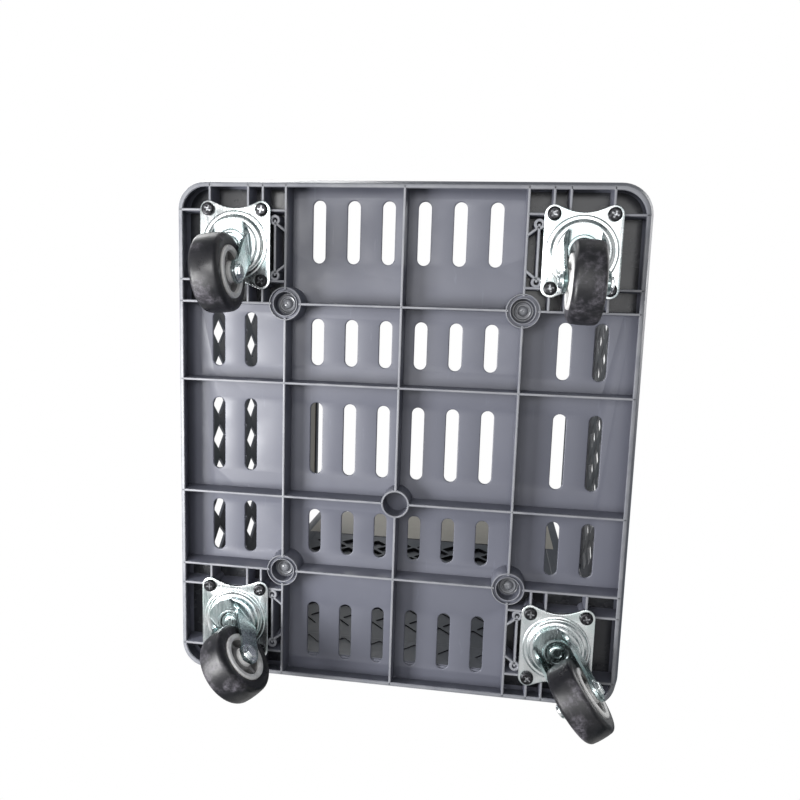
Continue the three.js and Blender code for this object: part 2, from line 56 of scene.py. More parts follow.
def middle(node):
    """The centre of a CAD node's box, in millimetres."""
    low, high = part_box(node)
    return (low + high) / 2 / MM


CENTRE = Vector((0, middle("base_platform").y, 0))

# ---------------------------------------------------------------- driving dimensions, millimetres
RIM_Z = 73.0  # lower edge of the platform, on the casters' plates
DECK_Z = 93.2
PANEL = 2.6
CEILING_Z = DECK_Z - PANEL
PLATFORM_X, PLATFORM_Y, PLATFORM_CORNER = 191.5, 214.0, 25.0
DRAFT = 5.4
RIM_WALL = 3.7
LONG_RIBS = (-95.6, 0.0, 95.6)
CROSS_RIBS = (-113.2, -48.2, 48.2, 113.2)
MIDDLE_RING_Y = 48.2
SLOT_HALF_WIDTH = 5.25
SLOT_X_INNER = (-72.3, -43.4, -14.6, 14.6, 43.4, 72.3)
SLOT_X_OUTER = (-159.0, -130.4, 130.4, 159.0)
# y of a row of slots, half lengths of its inner and outer slots (0 for none)
SLOT_ROWS = ((-172.5, 25.35, 0), (-82.1, 19.5, 23.0), (0, 30.8, 31.3), (82.1, 19.5, 23.0), (172.5, 25.35, 0))
RING_X, RING_Y = 95.6, 113.2
BAY_RIBS_X = (114.7, 127.0, 159.3)
BAY_RIBS_Y = (131.0, 187.0)
SMALL_BOSS_X = 104.4
SMALL_BOSS_Y = (135.5, 179.5)
CASTER_X, CASTER_Y = 137.0, 159.0
HOLE_X, HOLE_Y = 22.25, 28.0
TRAIL, WHEEL_R, TYRE_HALF = 24.6, 30.0, 11.3
# each caster's side, end and the direction it trails in, in degrees
CORNERS = {
    "front_left": (-1, -1, 84),
    "front_right": (1, -1, 92),
    "back_left": (-1, 1, 49),
    "back_right": (1, 1, 51),
}
SIDES = {"left": -1, "right": 1}
WALL_X, WALL_HALF, WALL_THICK, WALL_FRAME = 186.3, 186.0, 7.0, 12.0
WALL_TOP, WALL_FRONT_TOP = 530.0, 450.0
UPPER_HALF = 178.0
CREST_FRONT, CREST_BACK = -25.0, 10.0  # y where the top edge of a side wall starts and ends its rise
LUG_INNER, LUG_OUTER, LUG_HALF = 187.5, 193.5, 5.0
LEVEL = {"left": 23.6, "right": 5.5, "back": 41.7}  # height of each wall's hinge above the deck
HINGE_GAP, EAR = 5.0, 5.0
DIAMOND_PITCH, DIAMOND_LONG = 34.0, 13.75  # along a wall: from diamond to diamond, and half a diamond
# up a wall: the first row of diamonds, the distance from row to row, and half a diamond
SIDE_ROWS = (155.0, 29.8, 14.8)
BACK_ROWS = (147.0, 17.2, 14.4)
BACK_X, BACK_WIDE, BACK_SHOULDER, BACK_Y, BACK_TOP = 170.0, 179.0, 158.0, 206.0, 540.0
BACK_CROWN_X, BACK_CROWN, BACK_EAR_X, BACK_EAR = 112.0, 547.0, 150.0, 566.0
KERB_Y, KERB_TOP = 196.0, DECK_Z + 35.5  # the kerb in front of the back panel's foot
BLIND_TOP, BLIND_DEEP = 434.0, 290.0  # the back panel's lattice ends at one and gets shallow below the other
HANDLE_X, HANDLE_Y = 100.0, 218.3
SLEEVE_TOP, SLEEVE_BOTTOM = 510.0, 142.0
TUBE_TOP = 565.0
GRIP_Z, SOCKET_Z = 580.0, 552.0


# ---------------------------------------------------------------- mesh helpers
class Shape:
    """Vertices in millimetres and faces; shapes are added together before they become one object."""

    def __init__(self, verts=(), faces=()):
        self.verts = [Vector(v) for v in verts]
        self.faces = [tuple(f) for f in faces]

    def add(self, other, matrix=None):
        start = len(self.verts)
        flip = matrix is not None and matrix.determinant() < 0
        self.verts += [matrix @ v if matrix is not None else v.copy() for v in other.verts]
        for face in other.faces:
            ordered = reversed(face) if flip else face
            self.faces.append(tuple(start + i for i in ordered))
        return self

    def moved(self, matrix):
        return Shape().add(self, matrix)

    def join(self, low, high):
        """Faces between two closed rows with as many vertices."""
        count = len(low)
        for i in range(count):
            j = (i + 1) % count
            self.faces.append((low[i], low[j], high[j], high[i]))


def add_to_scene(name, data):
    holder = bpy.data.objects.new(name, data)
    bpy.context.scene.collection.objects.link(holder)
    return holder


def to_metres(matrix):
    """From a shape's own millimetres, placed by matrix within the cart, to metres in the frame."""
    return Matrix.Scale(MM, 4) @ Matrix.Translation(CENTRE) @ matrix


def make_object(name, shape, matrix, material, smooth_angle=35):
    """A mesh object from a shape, placed by matrix (in millimetres) within the cart."""
    mesh = bpy.data.meshes.new(name)
    placed = to_metres(matrix)
    mesh.from_pydata([placed @ v for v in shape.verts], [], shape.faces)
    build = bmesh.new()
    build.from_mesh(mesh)
    bmesh.ops.remove_doubles(build, verts=build.verts, dist=1e-7)
    bmesh.ops.recalc_face_normals(build, faces=build.faces)
    build.to_mesh(mesh)
    build.free()
    mesh.polygons.foreach_set("use_smooth", [True] * len(mesh.polygons))
    mesh.set_sharp_from_angle(angle=math.radians(smooth_angle))
    piece = add_to_scene(name, mesh)
    piece.data.materials.append(material)
    return piece


def add_accent(piece, material, matrix, chosen):
    """A second material on the faces that chosen(centre, normal) picks, in the shape's own millimetres."""
    piece.data.materials.append(material)
    back = to_metres(matrix).inverted()
    turn = back.to_3x3()
    for face in piece.data.polygons:
        if chosen(back @ face.center, (turn @ face.normal).normalized()):
            face.material_index = len(piece.data.materials) - 1


def lathe(points, steps=64):
    """A solid turned about Z from points of (radius, z): closed, or with both ends on the axis."""
    closed = points[0] == points[-1]
    rows = points[:-1] if closed else points
    shape = Shape()
    rings = []
    for radius, z in rows:
        if radius < 1e-6:
            rings.append([len(shape.verts)])
            shape.verts.append(Vector((0, 0, z)))
            continue
        rings.append(list(range(len(shape.verts), len(shape.verts) + steps)))
        for i in range(steps):
            angle = TAU * i / steps
            shape.verts.append(Vector((radius * math.cos(angle), radius * math.sin(angle), z)))
    if closed:
        rings.append(rings[0])
    for low, high in zip(rings, rings[1:]):
        if len(low) == len(high) == steps:
            shape.join(low, high)
        elif len(high) == steps:
            shape.faces += [(low[0], high[(i + 1) % steps], high[i]) for i in range(steps)]
        elif len(low) == steps:
            shape.faces += [(low[i], low[(i + 1) % steps], high[0]) for i in range(steps)]
    return shape


def both_ends(lower):
    """A closed profile from the lower half of its (radius, z) points, mirrored in z."""
    return lower + [(radius, -z) for radius, z in reversed(lower)] + lower[:1]


def arc(cx, cy, radius, start, end, steps=6):
    """Points on an arc, angles in degrees."""
    points = []
    for i in range(steps + 1):
        angle = math.radians(start + (end - start) * i / steps)
        points.append((cx + radius * math.cos(angle), cy + radius * math.sin(angle)))
    return points


def circle(radius, steps, x=0.0, y=0.0):
    return arc(x, y, radius, 0, 360, steps)[:-1]


def rectangle(half_y, z0, z1):
    return [(-half_y, z0), (half_y, z0), (half_y, z1), (-half_y, z1)]


def rounded_rectangle(half_x, half_y, radius, steps=8):
    x, y = half_x - radius, half_y - radius
    corners = ((x, -y, -90), (x, y, 0), (-x, y, 90), (-x, -y, 180))
    return [p for cx, cy, a in corners for p in arc(cx, cy, radius, a, a + 90, steps)]


def rounded_polygon(points, radius, steps=3):
    """A polygon with its corners rounded off."""
    result = []
    count = len(points)
    for i in range(count):
        before, here, after = (Vector(points[(i + k) % count]) for k in (-1, 0, 1))
        to_before, to_after = (before - here).normalized(), (after - here).normalized()
        half = to_before.angle(to_after) / 2
        reach = min(radius / math.tan(half), (before - here).length / 2, (after - here).length / 2)
        start, end = here + to_before * reach, here + to_after * reach
        for k in range(steps + 1):
            t = k / steps
            result.append(tuple((1 - t) ** 2 * start + 2 * t * (1 - t) * here + t * t * end))
    return result


def plate(loops, z0, z1, bevel=0.0):
    """A flat plate between z0 and z1: the first loop is its outline and the others are holes."""
    curve = bpy.data.curves.new("plate", "CURVE")
    curve.dimensions = "2D"
    curve.fill_mode = "BOTH"
    curve.extrude = (z1 - z0) / 2 - bevel
    curve.bevel_depth = bevel
    curve.bevel_resolution = 2
    curve.offset = -bevel
    for loop in loops:
        spline = curve.splines.new("POLY")
        spline.points.add(len(loop) - 1)
        for point, (x, y) in zip(spline.points, loop):
            point.co = (x, y, 0, 1)
        spline.use_cyclic_u = True
    holder = add_to_scene("plate", curve)
    mesh = bpy.data.meshes.new_from_object(holder.evaluated_get(bpy.context.evaluated_depsgraph_get()))
    lift = Vector((0, 0, (z0 + z1) / 2))
    shape = Shape([v.co + lift for v in mesh.vertices], [tuple(p.vertices) for p in mesh.polygons])
    bpy.data.objects.remove(holder)
    bpy.data.curves.remove(curve)
    bpy.data.meshes.remove(mesh)
    return shape


def swept_ring(outline_at, profile):
    """A ring with the closed profile of (inset, z) points, swept round an outline given for each inset."""
    shape = Shape()
    rows = []
    for inset, z in profile:
        loop = outline_at(inset)
        rows.append(range(len(shape.verts), len(shape.verts) + len(loop)))
        shape.verts += [Vector((x, y, z)) for x, y in loop]
    for low, high in zip(rows, rows[1:] + rows[:1]):
        shape.join(low, high)
    return shape


def bar(start, end, profile):
    """A straight bar from start to end (x, y) with a closed profile of (sideways, z) points."""
    a, b = Vector((*start, 0)), Vector((*end, 0))
    side = Vector((0, 0, 1)).cross((b - a).normalized())
    shape = Shape()
    for p in (a, b):
        shape.verts += [p + side * s + Vector((0, 0, z)) for s, z in profile]
    count = len(profile)
    near, far = range(count), range(count, 2 * count)
    shape.join(near, far)
    shape.faces += [tuple(reversed(near)), tuple(far)]
    return shape


def block(x0, x1, y0, y1, z0, z1, corner):
    """A box with rounded upright edges."""
    outline = rounded_rectangle((x1 - x0) / 2, (y1 - y0) / 2, corner, 4)
    middle_of_box = shift((x0 + x1) / 2, (y0 + y1) / 2, 0)
    return plate([outline], z0, z1, min(0.5, (z1 - z0) / 6)).moved(middle_of_box)


# Stands a flat plate, drawn in (x, z), upright with its thickness along y.
FACING_Y = Matrix(((1, 0, 0, 0), (0, 0, -1, 0), (0, 1, 0, 0), (0, 0, 0, 1)))
AXIS_Y = Matrix.Rotation(math.radians(-90), 4, "X")  # turns a lathed solid's Z to +Y
AXIS_X = Matrix.Rotation(math.radians(90), 4, "Y")  # turns a lathed solid's Z to +X


def shift(x, y, z):
    return Matrix.Translation((x, y, z))


def about_z(degrees):
    return Matrix.Rotation(math.radians(degrees), 4, "Z")


# ---------------------------------------------------------------- materials
class Nodes:
    """A material's node tree with short calls for the nodes used here."""

    def __init__(self, name):
        self.material = bpy.data.materials.new(name)
        self.material.use_nodes = True
        self.tree = self.material.node_tree
        self.shader = next(n for n in self.tree.nodes if n.type == "BSDF_PRINCIPLED")
        self.place = self.tree.nodes.new("ShaderNodeTexCoord").outputs["Object"]

    def link(self, source, target):
        self.tree.links.new(source, target)

    def add(self, kind, **inputs):
        """A node with its inputs set by name, with underscores for spaces."""
        node = self.tree.nodes.new("ShaderNode" + kind)
        for name, value in inputs.items():
            node.inputs[name.replace("_", " ")].default_value = value
        return node

    def noise(self, scale, detail=4.0, roughness=0.55, stretch=None):
        node = self.add("TexNoise", Scale=scale, Detail=detail, Roughness=roughness)
        source = self.place
        if stretch:
            mapping = self.add("Mapping", Scale=stretch)
            self.link(self.place, mapping.inputs["Vector"])
            source = mapping.outputs["Vector"]
        self.link(source, node.inputs["Vector"])
        return node.outputs["Fac"]

    def ramp(self, source, stops):
        """Colours along a value: stops are (position, colour)."""
        node = self.add("ValToRGB")
        elements = node.color_ramp.elements
        while len(elements) < len(stops):
            elements.new(0.5)
        for element, (position, colour) in zip(elements, stops):
            element.position = position
            element.color = (*colour, 1)
        self.link(source, node.inputs["Fac"])
        return node.outputs["Color"]

    def levels(self, source, low, high, start=0.0, end=1.0):
        """The source's range low to high as start to end."""
        node = self.add("MapRange", From_Min=low, From_Max=high, To_Min=start, To_Max=end)
        self.link(source, node.inputs["Value"])
        return node.outputs["Result"]

    def mix(self, factor, first, second):
        """Two colours mixed; each is a socket or a colour."""
        node = self.add("Mix")
        node.data_type = "RGBA"
        for socket, value in ((node.inputs[6], first), (node.inputs[7], second)):
            if isinstance(value, tuple):
                socket.default_value = (*value, 1)
            else:
                self.link(value, socket)
        self.link(factor, node.inputs[0])
        return node.outputs[2]

    def colour(self, source):
        self.link(source, self.shader.inputs["Base Color"])

    def roughness(self, source, low, high, start, end):
        self.link(self.levels(source, low, high, start, end), self.shader.inputs["Roughness"])

    def height(self):
        """The height in the piece's own coordinates, in metres."""
        node = self.add("SeparateXYZ")
        self.link(self.place, node.inputs[0])
        return node.outputs["Z"]

    def times(self, a, b):
        node = self.add("Math")
        node.operation = "MULTIPLY"
        self.link(a, node.inputs[0])
        self.link(b, node.inputs[1])
        return node.outputs[0]

    def bump(self, source, strength, distance):
        node = self.add("Bump", Strength=strength, Distance=distance)
        self.link(source, node.inputs["Height"])
        previous = self.shader.inputs["Normal"]
        if previous.is_linked:
            self.link(previous.links[0].from_socket, node.inputs["Normal"])
        self.link(node.outputs["Normal"], self.shader.inputs["Normal"])

    def set(self, **values):
        for name, value in values.items():
            self.shader.inputs[name.replace("_", " ").capitalize()].default_value = value


def moulded_plastic(name, colour, light, worn=0.0, scuff_height=None, gloss=(0.34, 0.52)):
    """Satin moulded polypropylene with a fine grain, flow streaks and lighter scuffs.

    Edges at scuff_height, in metres, are rubbed pale.
    """
    n = Nodes(name)
    cloud = n.noise(6.0, 5.0)
    streaks = n.noise(18.0, 4.0, stretch=(1.0, 0.15, 1.0))
    base = n.mix(n.levels(cloud, 0.3, 0.7), colour, light)
    base = n.mix(n.levels(streaks, 0.45, 0.8, 0.0, 0.35), base, light)
    scratches = n.noise(160.0, 6.0, 0.7, stretch=(1.0, 0.12, 1.0))
    scuffs = n.levels(scratches, 0.62, 0.75, 0.0, 0.18 + worn)
    pale = tuple(min(1.0, c * 2.4) for c in light)
    base = n.mix(scuffs, base, pale)
    if scuff_height is not None:
        near = n.levels(n.height(), scuff_height, scuff_height + 0.0018, 1.0, 0.0)
        rubbed = n.times(near, n.levels(n.noise(60.0, 5.0), 0.25, 0.6, 0.45, 1.0))
        base = n.mix(rubbed, base, (0.25, 0.255, 0.275))
    n.colour(base)
    n.roughness(n.noise(35.0, 6.0), 0.25, 0.75, *gloss)
    n.bump(n.noise(2600.0, 2.0), 0.25, 0.00008)
    n.bump(n.noise(30.0, 3.0), 0.15, 0.0006)
    return n.material


def zinc(name, tones):
    """Zinc plate: passivation clouds in three tones, light drawing marks and dull spots."""
    n = Nodes(name)
    tint = n.ramp(n.noise(38.0, 4.0), list(zip((0.3, 0.5, 0.7), tones)))
    n.colour(tint)
    n.set(Metallic=1.0)
    marks = n.noise(420.0, 5.0, 0.7, stretch=(1.0, 0.08, 1.0))
    n.roughness(marks, 0.3, 0.75, 0.16, 0.36)
    n.bump(n.noise(90.0, 4.0), 0.12, 0.0004)
    n.bump(marks, 0.08, 0.0001)
    return n.material


def black_screw():
    n = Nodes("black_screw")
    spots = n.noise(500.0, 4.0)
    n.colour(n.ramp(spots, [(0.35, (0.012, 0.012, 0.014)), (0.75, (0.07, 0.07, 0.075))]))
    n.set(Metallic=0.85)
    n.roughness(spots, 0.3, 0.7, 0.25, 0.45)
    n.bump(spots, 0.1, 0.0002)
    return n.material


def screw_recess_glint():
    """Painted highlight: bright metal colour in the screws' cross recesses, for light caught by their edges.
    """
    n = Nodes("screw_recess_glint")
    spots = n.noise(900.0, 4.0)
    n.colour(n.ramp(spots, [(0.4, (0.06, 0.06, 0.065)), (0.62, (0.5, 0.51, 0.53))]))
    n.set(Metallic=1.0, Roughness=0.32)
    return n.material


def dusty_tyre():
    """Black thermoplastic rubber, shiny where clean, with patches of pale floor dust pressed into it."""
    n = Nodes("dusty_tyre")
    clouds = n.noise(38.0, 6.0, 0.6)
    specks = n.noise(300.0, 6.0, 0.75)
    dust = n.times(n.levels(clouds, 0.5, 0.7, 0.03, 1.0), n.levels(specks, 0.42, 0.64, 0.1, 1.0))
    base = n.mix(dust, (0.007, 0.007, 0.009), (0.22, 0.205, 0.24))
    n.colour(base)
    n.roughness(clouds, 0.35, 0.65, 0.26, 0.6)
    n.bump(specks, 0.25, 0.0003)
    return n.material


def hub_plastic(name, clean, dirty):
    """Off-white polypropylene with grey dirt in patches; given darker colours, it is the hub's hollow in
    painted shade.
    """
    n = Nodes(name)
    dirt = n.noise(95.0, 6.0, 0.7)
    n.colour(n.ramp(dirt, [(0.5, clean), (0.8, dirty)]))
    n.roughness(dirt, 0.3, 0.7, 0.3, 0.55)
    n.bump(n.noise(600.0, 3.0), 0.12, 0.0001)
    return n.material


def brushed_tube():
    n = Nodes("brushed_tube")
    lines = n.noise(900.0, 4.0, 0.6, stretch=(1.0, 1.0, 0.01))
    n.colour(n.ramp(lines, [(0.3, (0.58, 0.59, 0.60)), (0.7, (0.72, 0.73, 0.74))]))
    n.set(Metallic=1.0)
    n.roughness(lines, 0.3, 0.7, 0.2, 0.34)
    n.bump(lines, 0.06, 0.0001)
    return n.material


# name, colour, lighter colour, and what else differs from plain moulded plastic
PLASTICS = (
    ("platform", (0.094, 0.098, 0.126), (0.124, 0.129, 0.16), {"worn": 0.02, "scuff_height": RIM_Z * MM}),
    # bay: painted shade, the platform's own plastic made near-black where the casters' bays lie in shade
    ("bay_painted_shade", (0.014, 0.015, 0.018), (0.024, 0.025, 0.03), {"gloss": (0.16, 0.34)}),
    ("wall", (0.034, 0.037, 0.046), (0.054, 0.058, 0.07), {}),
    ("insert", (0.21, 0.2, 0.18), (0.26, 0.245, 0.22), {}),
    # painted_shadow_line: painted shadow, near-black for the steep sides of blind diamonds and pockets
    ("painted_shadow_line", (0.004, 0.004, 0.005), (0.007, 0.007, 0.008), {}),
    ("grip", (0.018, 0.018, 0.02), (0.03, 0.03, 0.032), {}),
    ("ring_screw", (0.11, 0.115, 0.13), (0.2, 0.205, 0.22), {"worn": 0.4, "gloss": (0.1, 0.26)}),
    # painted_highlight_edge: painted highlight, pale sides of the right wall's diamonds where light catches
    # them
    ("painted_highlight_edge", (0.3, 0.305, 0.315), (0.4, 0.405, 0.415), {}),
    ("button", (0.055, 0.057, 0.062), (0.08, 0.082, 0.088), {}),
)
MATERIALS = {
    **{name: moulded_plastic(name + "_plastic", dark, light, **more) for name, dark, light, more in PLASTICS},
    "zinc": zinc("bright_zinc", ((0.66, 0.76, 0.77), (0.86, 0.88, 0.89), (0.74, 0.85, 0.83))),
    # yoke: the plate's zinc with darker teal tones as painted reflection, the legs' dark reflections put into
    # the colour
    "yoke": zinc("yoke_zinc_painted_reflection", ((0.22, 0.34, 0.34), (0.5, 0.56, 0.57), (0.34, 0.46, 0.45))),
    "screw": black_screw(),
    # recess: painted highlight in the screws' cross recesses
    "recess": screw_recess_glint(),
    "tyre": dusty_tyre(),
    "hub": hub_plastic("hub_plastic", (0.95, 0.94, 0.93), (0.62, 0.6, 0.59)),
    # hub_painted_shade: painted shade, a darker copy of the hub's plastic for its hollow
    "hub_painted_shade": hub_plastic("hub_inside_painted_shade", (0.36, 0.35, 0.35), (0.2, 0.19, 0.19)),
    "tube": brushed_tube(),
}


def finish_piece(piece, body, node):
    """Attaches a piece to its body and hides the CAD node it stands for."""
    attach(piece, body)
    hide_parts(node)


def add_piece(name, shape, finish, body, node, matrix=HERE, smooth_angle=35, accents=()):
    """Makes and finishes a piece. Each accent is a finish's name and the test that picks its faces."""
    piece = make_object(name, shape, matrix, MATERIALS[finish], smooth_angle)
    for accent, chosen in accents:
        add_accent(piece, MATERIALS[accent], matrix, chosen)
    finish_piece(piece, body, node)


# ---------------------------------------------------------------- platform
def platform_outline(inset):
    return rounded_rectangle(PLATFORM_X - inset, PLATFORM_Y - inset, PLATFORM_CORNER - inset * 0.6, 12)


def slot_loop(x, y, half_length):
    reach = half_length - SLOT_HALF_WIDTH
    return arc(x, y + reach, SLOT_HALF_WIDTH, 0, 180, 12) + arc(x, y - reach, SLOT_HALF_WIDTH, 180, 360, 12)


def deck_panel():
    loops = [platform_outline(1.2)]
    for y, inner, outer in SLOT_ROWS:
        loops += [slot_loop(x, y, inner) for x in SLOT_X_INNER]
        if outer:
            loops += [slot_loop(x, y, outer) for x in SLOT_X_OUTER]
    return plate(loops, CEILING_Z, DECK_Z, 0.8)


def rim():
    """The drafted side wall of the platform with rounded lower and upper edges."""
    low = DRAFT
    profile = [
        (low + RIM_WALL - 0.8, RIM_Z), (low + 0.9, RIM_Z),
        (low + 0.25, RIM_Z + 0.35), (low - 0.25, RIM_Z + 1.2),
        (0.35, DECK_Z - 2.6), (0.15, DECK_Z - 1.3), (0.75, DECK_Z - 0.35), (1.8, DECK_Z - 0.02),
        (3.4, DECK_Z - 0.6), (4.4, CEILING_Z - 0.6), (low + RIM_WALL - 0.25, RIM_Z + 0.9),
    ]
    return swept_ring(platform_outline, profile)


RIB_PROFILE = [
    (-1.45, CEILING_Z + 0.8), (-1.05, RIM_Z + 0.7), (-0.75, RIM_Z + 0.12), (-0.35, RIM_Z),
    (0.35, RIM_Z), (0.75, RIM_Z + 0.12), (1.05, RIM_Z + 0.7), (1.45, CEILING_Z + 0.8),
]


def tube_profile(outer, inner, z0, z1, root=0.5):
    """The turned profile of a moulded ring standing down from the deck panel."""
    return [
        (inner, z0 + 0.4), (inner + 0.4, z0), (outer - 0.5, z0), (outer, z0 + 0.5),
        (outer + root, z1), (inner - 0.2, z1), (inner, z0 + 0.4),
    ]


def caster_bay(sx, sy):
    shape = Shape()
    inner_x, outer_x = RING_X * sx, (PLATFORM_X - DRAFT - 1) * sx
    inner_y, outer_y = RING_Y * sy, (PLATFORM_Y - DRAFT - 1) * sy
    for x in BAY_RIBS_X:
        shape.add(bar((sx * x, inner_y), (sx * x, outer_y), RIB_PROFILE))
    for y in BAY_RIBS_Y:
        shape.add(bar((inner_x, sy * y), (outer_x, sy * y), RIB_PROFILE))
    boss_x = sx * SMALL_BOSS_X
    shape.add(bar((boss_x, sy * SMALL_BOSS_Y[0]), (boss_x, sy * SMALL_BOSS_Y[1]), RIB_PROFILE))
    boss = lathe(tube_profile(4.2, 1.9, RIM_Z, CEILING_Z + 0.5), 28)
    reach = SMALL_BOSS_X - RING_X
    for y, direction in zip(SMALL_BOSS_Y, (1, -1)):
        shape.add(boss, shift(boss_x, sy * y, 0))
        start, end = (boss_x, sy * (y + direction * 2)), (sx * RING_X, sy * (y + direction * reach))
        shape.add(bar(start, end, RIB_PROFILE))
    pilot = lathe(tube_profile(4.8, 2.2, RIM_Z, CEILING_Z + 0.5), 24)
    for ax, ay in QUARTERS:
        shape.add(pilot, shift(sx * CASTER_X + ax * HOLE_X, sy * CASTER_Y + ay * HOLE_Y, 0))
    return shape


def screw_ring():
    """The ring where two ribs cross, with a floor that its screw clamps."""
    floor = CEILING_Z - 7
    groove = RIM_Z + 2.2
    return lathe([
        (2.4, floor), (8.9, floor), (9.5, floor - 0.6),
        (9.5, RIM_Z + 0.5), (9.8, RIM_Z + 0.2), (10.2, RIM_Z + 0.2),
        (10.6, groove), (12.3, groove), (12.7, RIM_Z), (13.2, RIM_Z), (13.5, RIM_Z + 0.5),
        (14.1, CEILING_Z + 0.5), (2.4, CEILING_Z + 0.5), (2.4, floor),
    ], 56)


def rib_stretches(fixed, along_x, half):
    """Ends of one long rib's stretches between the screw rings, so that no rib crosses a ring's inside."""
    corner_reach, middle_reach = 11.5, 10.9
    across, along = (RING_Y, RING_X) if along_x else (RING_X, RING_Y)
    middle_across, middle_along = (MIDDLE_RING_Y, 0) if along_x else (0, MIDDLE_RING_Y)
    stops = []
    if abs(fixed) == across:
        stops = [(-along, corner_reach), (along, corner_reach)]
    elif fixed == middle_across:
        stops = [(middle_along, middle_reach)]
    edges = [-half] + [e for centre, reach in stops for e in (centre - reach, centre + reach)] + [half]
    return list(zip(edges[::2], edges[1::2]))


BAY_FLOOR_Z = CEILING_Z - 0.15


def bay_shade_sheet(sx, sy):
    """The part of the ceiling over a caster, a hair lower than the rest, which is shinier and darker; the
    darkness is painted shade.
    """
    x0, x1 = RING_X + 1.0, PLATFORM_X - DRAFT - RIM_WALL + 1
    y0, y1 = RING_Y + 1.0, PLATFORM_Y - DRAFT - RIM_WALL + 1
    radius = 18
    corner = arc(x1 - radius, y1 - radius, radius, 0, 90, 8)
    loop = [(sx * x, sy * y) for x, y in [(x0, y0), (x1, y0), *corner, (x0, y1)]]
    return plate([loop], BAY_FLOOR_Z, CEILING_Z + 0.5)


# Picks the faces of the bay sheets that carry painted shade.
def on_bay_shade_sheet(centre, normal):
    return normal.z < -0.5 and abs(centre.z - BAY_FLOOR_Z) < 0.05


def hinge_posts():
    """Lugs and kerbs on the deck that carry the walls' hinge pins."""
    shape = Shape()
    root = DECK_Z - 1
    inner, outer = WALL_X - LUG_HALF, WALL_X + LUG_HALF
    rear, post_inner, kerb_x, pattern_x = 211, BACK_X + 1.5, 168, 163
    for side, sign in SIDES.items():
        x0, x1 = sorted((sign * inner, sign * outer))
        shape.add(block(x0, x1, -LUG_OUTER, -LUG_INNER, root, DECK_Z + LEVEL[side] + LUG_HALF, 2))
        corner = [(post_inner, LUG_INNER), (outer, LUG_INNER), (outer - 0.5, LUG_OUTER)]
        corner += [(186, 205), (180, rear), (post_inner, rear)]
        loop = rounded_polygon([(sign * x, y) for x, y in corner], 2.0)
        if sign < 0:
            loop.reverse()
        shape.add(plate([loop], root, DECK_Z + LEVEL["back"] + LUG_HALF, 0.6))
    shape.add(block(-outer, -WALL_X + 7, -187, 187, root, DECK_Z + 17, 2))
    shape.add(block(-kerb_x, kerb_x, KERB_Y, rear, root, KERB_TOP, 3))
    middle_z = (DECK_Z + KERB_TOP) / 2
    holes = diamonds((middle_z, BACK_ROWS[1], BACK_ROWS[2]), 160, DECK_Z + 1, KERB_TOP - 1)
    pattern = plate([rectangle(pattern_x, DECK_Z, KERB_TOP - 0.6), *holes], -0.8, 0.8)
    return shape.add(pattern, shift(0, KERB_Y, 0) @ FACING_Y)


def on_shaded_kerb(centre, normal):
    """Whether a face belongs to the kerb behind the load, which is the platform's plastic painted as dark as
    the walls: painted shade.
    """
    return centre.z > DECK_Z + 0.3 and abs(centre.y - KERB_Y) < 1.2 and abs(normal.y) > 0.6


# Painted shadow: the steep sides of the kerb's diamond pockets are made near-black.
def in_kerb_pocket_shadow(centre, normal):
    return centre.z > DECK_Z + 0.3 and abs(centre.y - KERB_Y) < 0.75 and abs(normal.y) <= 0.6


def add_platform():
    shape = deck_panel()
    shape.add(rim())
    half_x, half_y = PLATFORM_X - DRAFT * 0.75 - 2, PLATFORM_Y - DRAFT * 0.75 - 2
    for x in LONG_RIBS:
        for a, b in rib_stretches(x, False, half_y):
            shape.add(bar((x, a), (x, b), RIB_PROFILE))
    for y in CROSS_RIBS:
        for a, b in rib_stretches(y, True, half_x):
            shape.add(bar((a, y), (b, y), RIB_PROFILE))
    ring = screw_ring()
    for sx, sy in QUARTERS:
        shape.add(ring, shift(sx * RING_X, sy * RING_Y, 0))
        shape.add(caster_bay(sx, sy))
        # A sheet of painted shade over each caster.
        shape.add(bay_shade_sheet(sx, sy))
    shape.add(lathe(tube_profile(11.8, 10.1, RIM_Z, CEILING_Z + 0.5), 56), shift(0, MIDDLE_RING_Y, 0))
    shape.add(hinge_posts())
    # The bay sheets get painted shade, the kerb's faces painted shade as dark as the walls, and the sides of
    # the kerb's diamond pockets a painted shadow.
    accents = (("bay_painted_shade", on_bay_shade_sheet), ("wall", on_shaded_kerb), ("painted_shadow_line", in_kerb_pocket_shadow))
    add_piece("platform_moulding", shape, "platform", "base", "base_platform", accents=accents)


def add_ring_screws():
    """Domed washer-head screws inside the four rings."""
    profile = [
        (0, -3.2), (0.9, -3.9), (1.8, -3.8), (3.2, -3.2), (3.9, -2.2), (4.3, -1.2), (5.0, -1.2), (5.4, -2.0),
        (6.3, -2.2), (7.0, -1.7), (7.3, -0.9), (7.9, -0.9), (8.3, -1.2), (8.6, -0.3),
        (8.4, 0), (2.0, 0), (2.0, 5.0), (0, 5.0),
    ]
    head = lathe(profile, 48)
    shank_length = 5.0
    for name, (sx, sy, _) in CORNERS.items():
        node = "ring_screw_" + name
        place = shift(sx * RING_X, sy * RING_Y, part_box(node)[1].z / MM - shank_length)
        add_piece("ring_screw_head_" + name, head, "ring_screw", "base", node, place)


# ---------------------------------------------------------------- casters
PLATE_TOP = RIM_Z - 0.3
PLATE_THICK = 2.3
PLATE_LOW = PLATE_TOP - PLATE_THICK
RACE_LOW = PLATE_LOW - 2.6
BEARING_TOP = RACE_LOW - 0.3
BEARING_LOW = BEARING_TOP - 3.0
FORK_TOP = BEARING_LOW - 0.3
FORK_THICK = 2.2
LEG_OUT = 15.6
EYE = 9.0  # radius of a fork leg's end round the axle


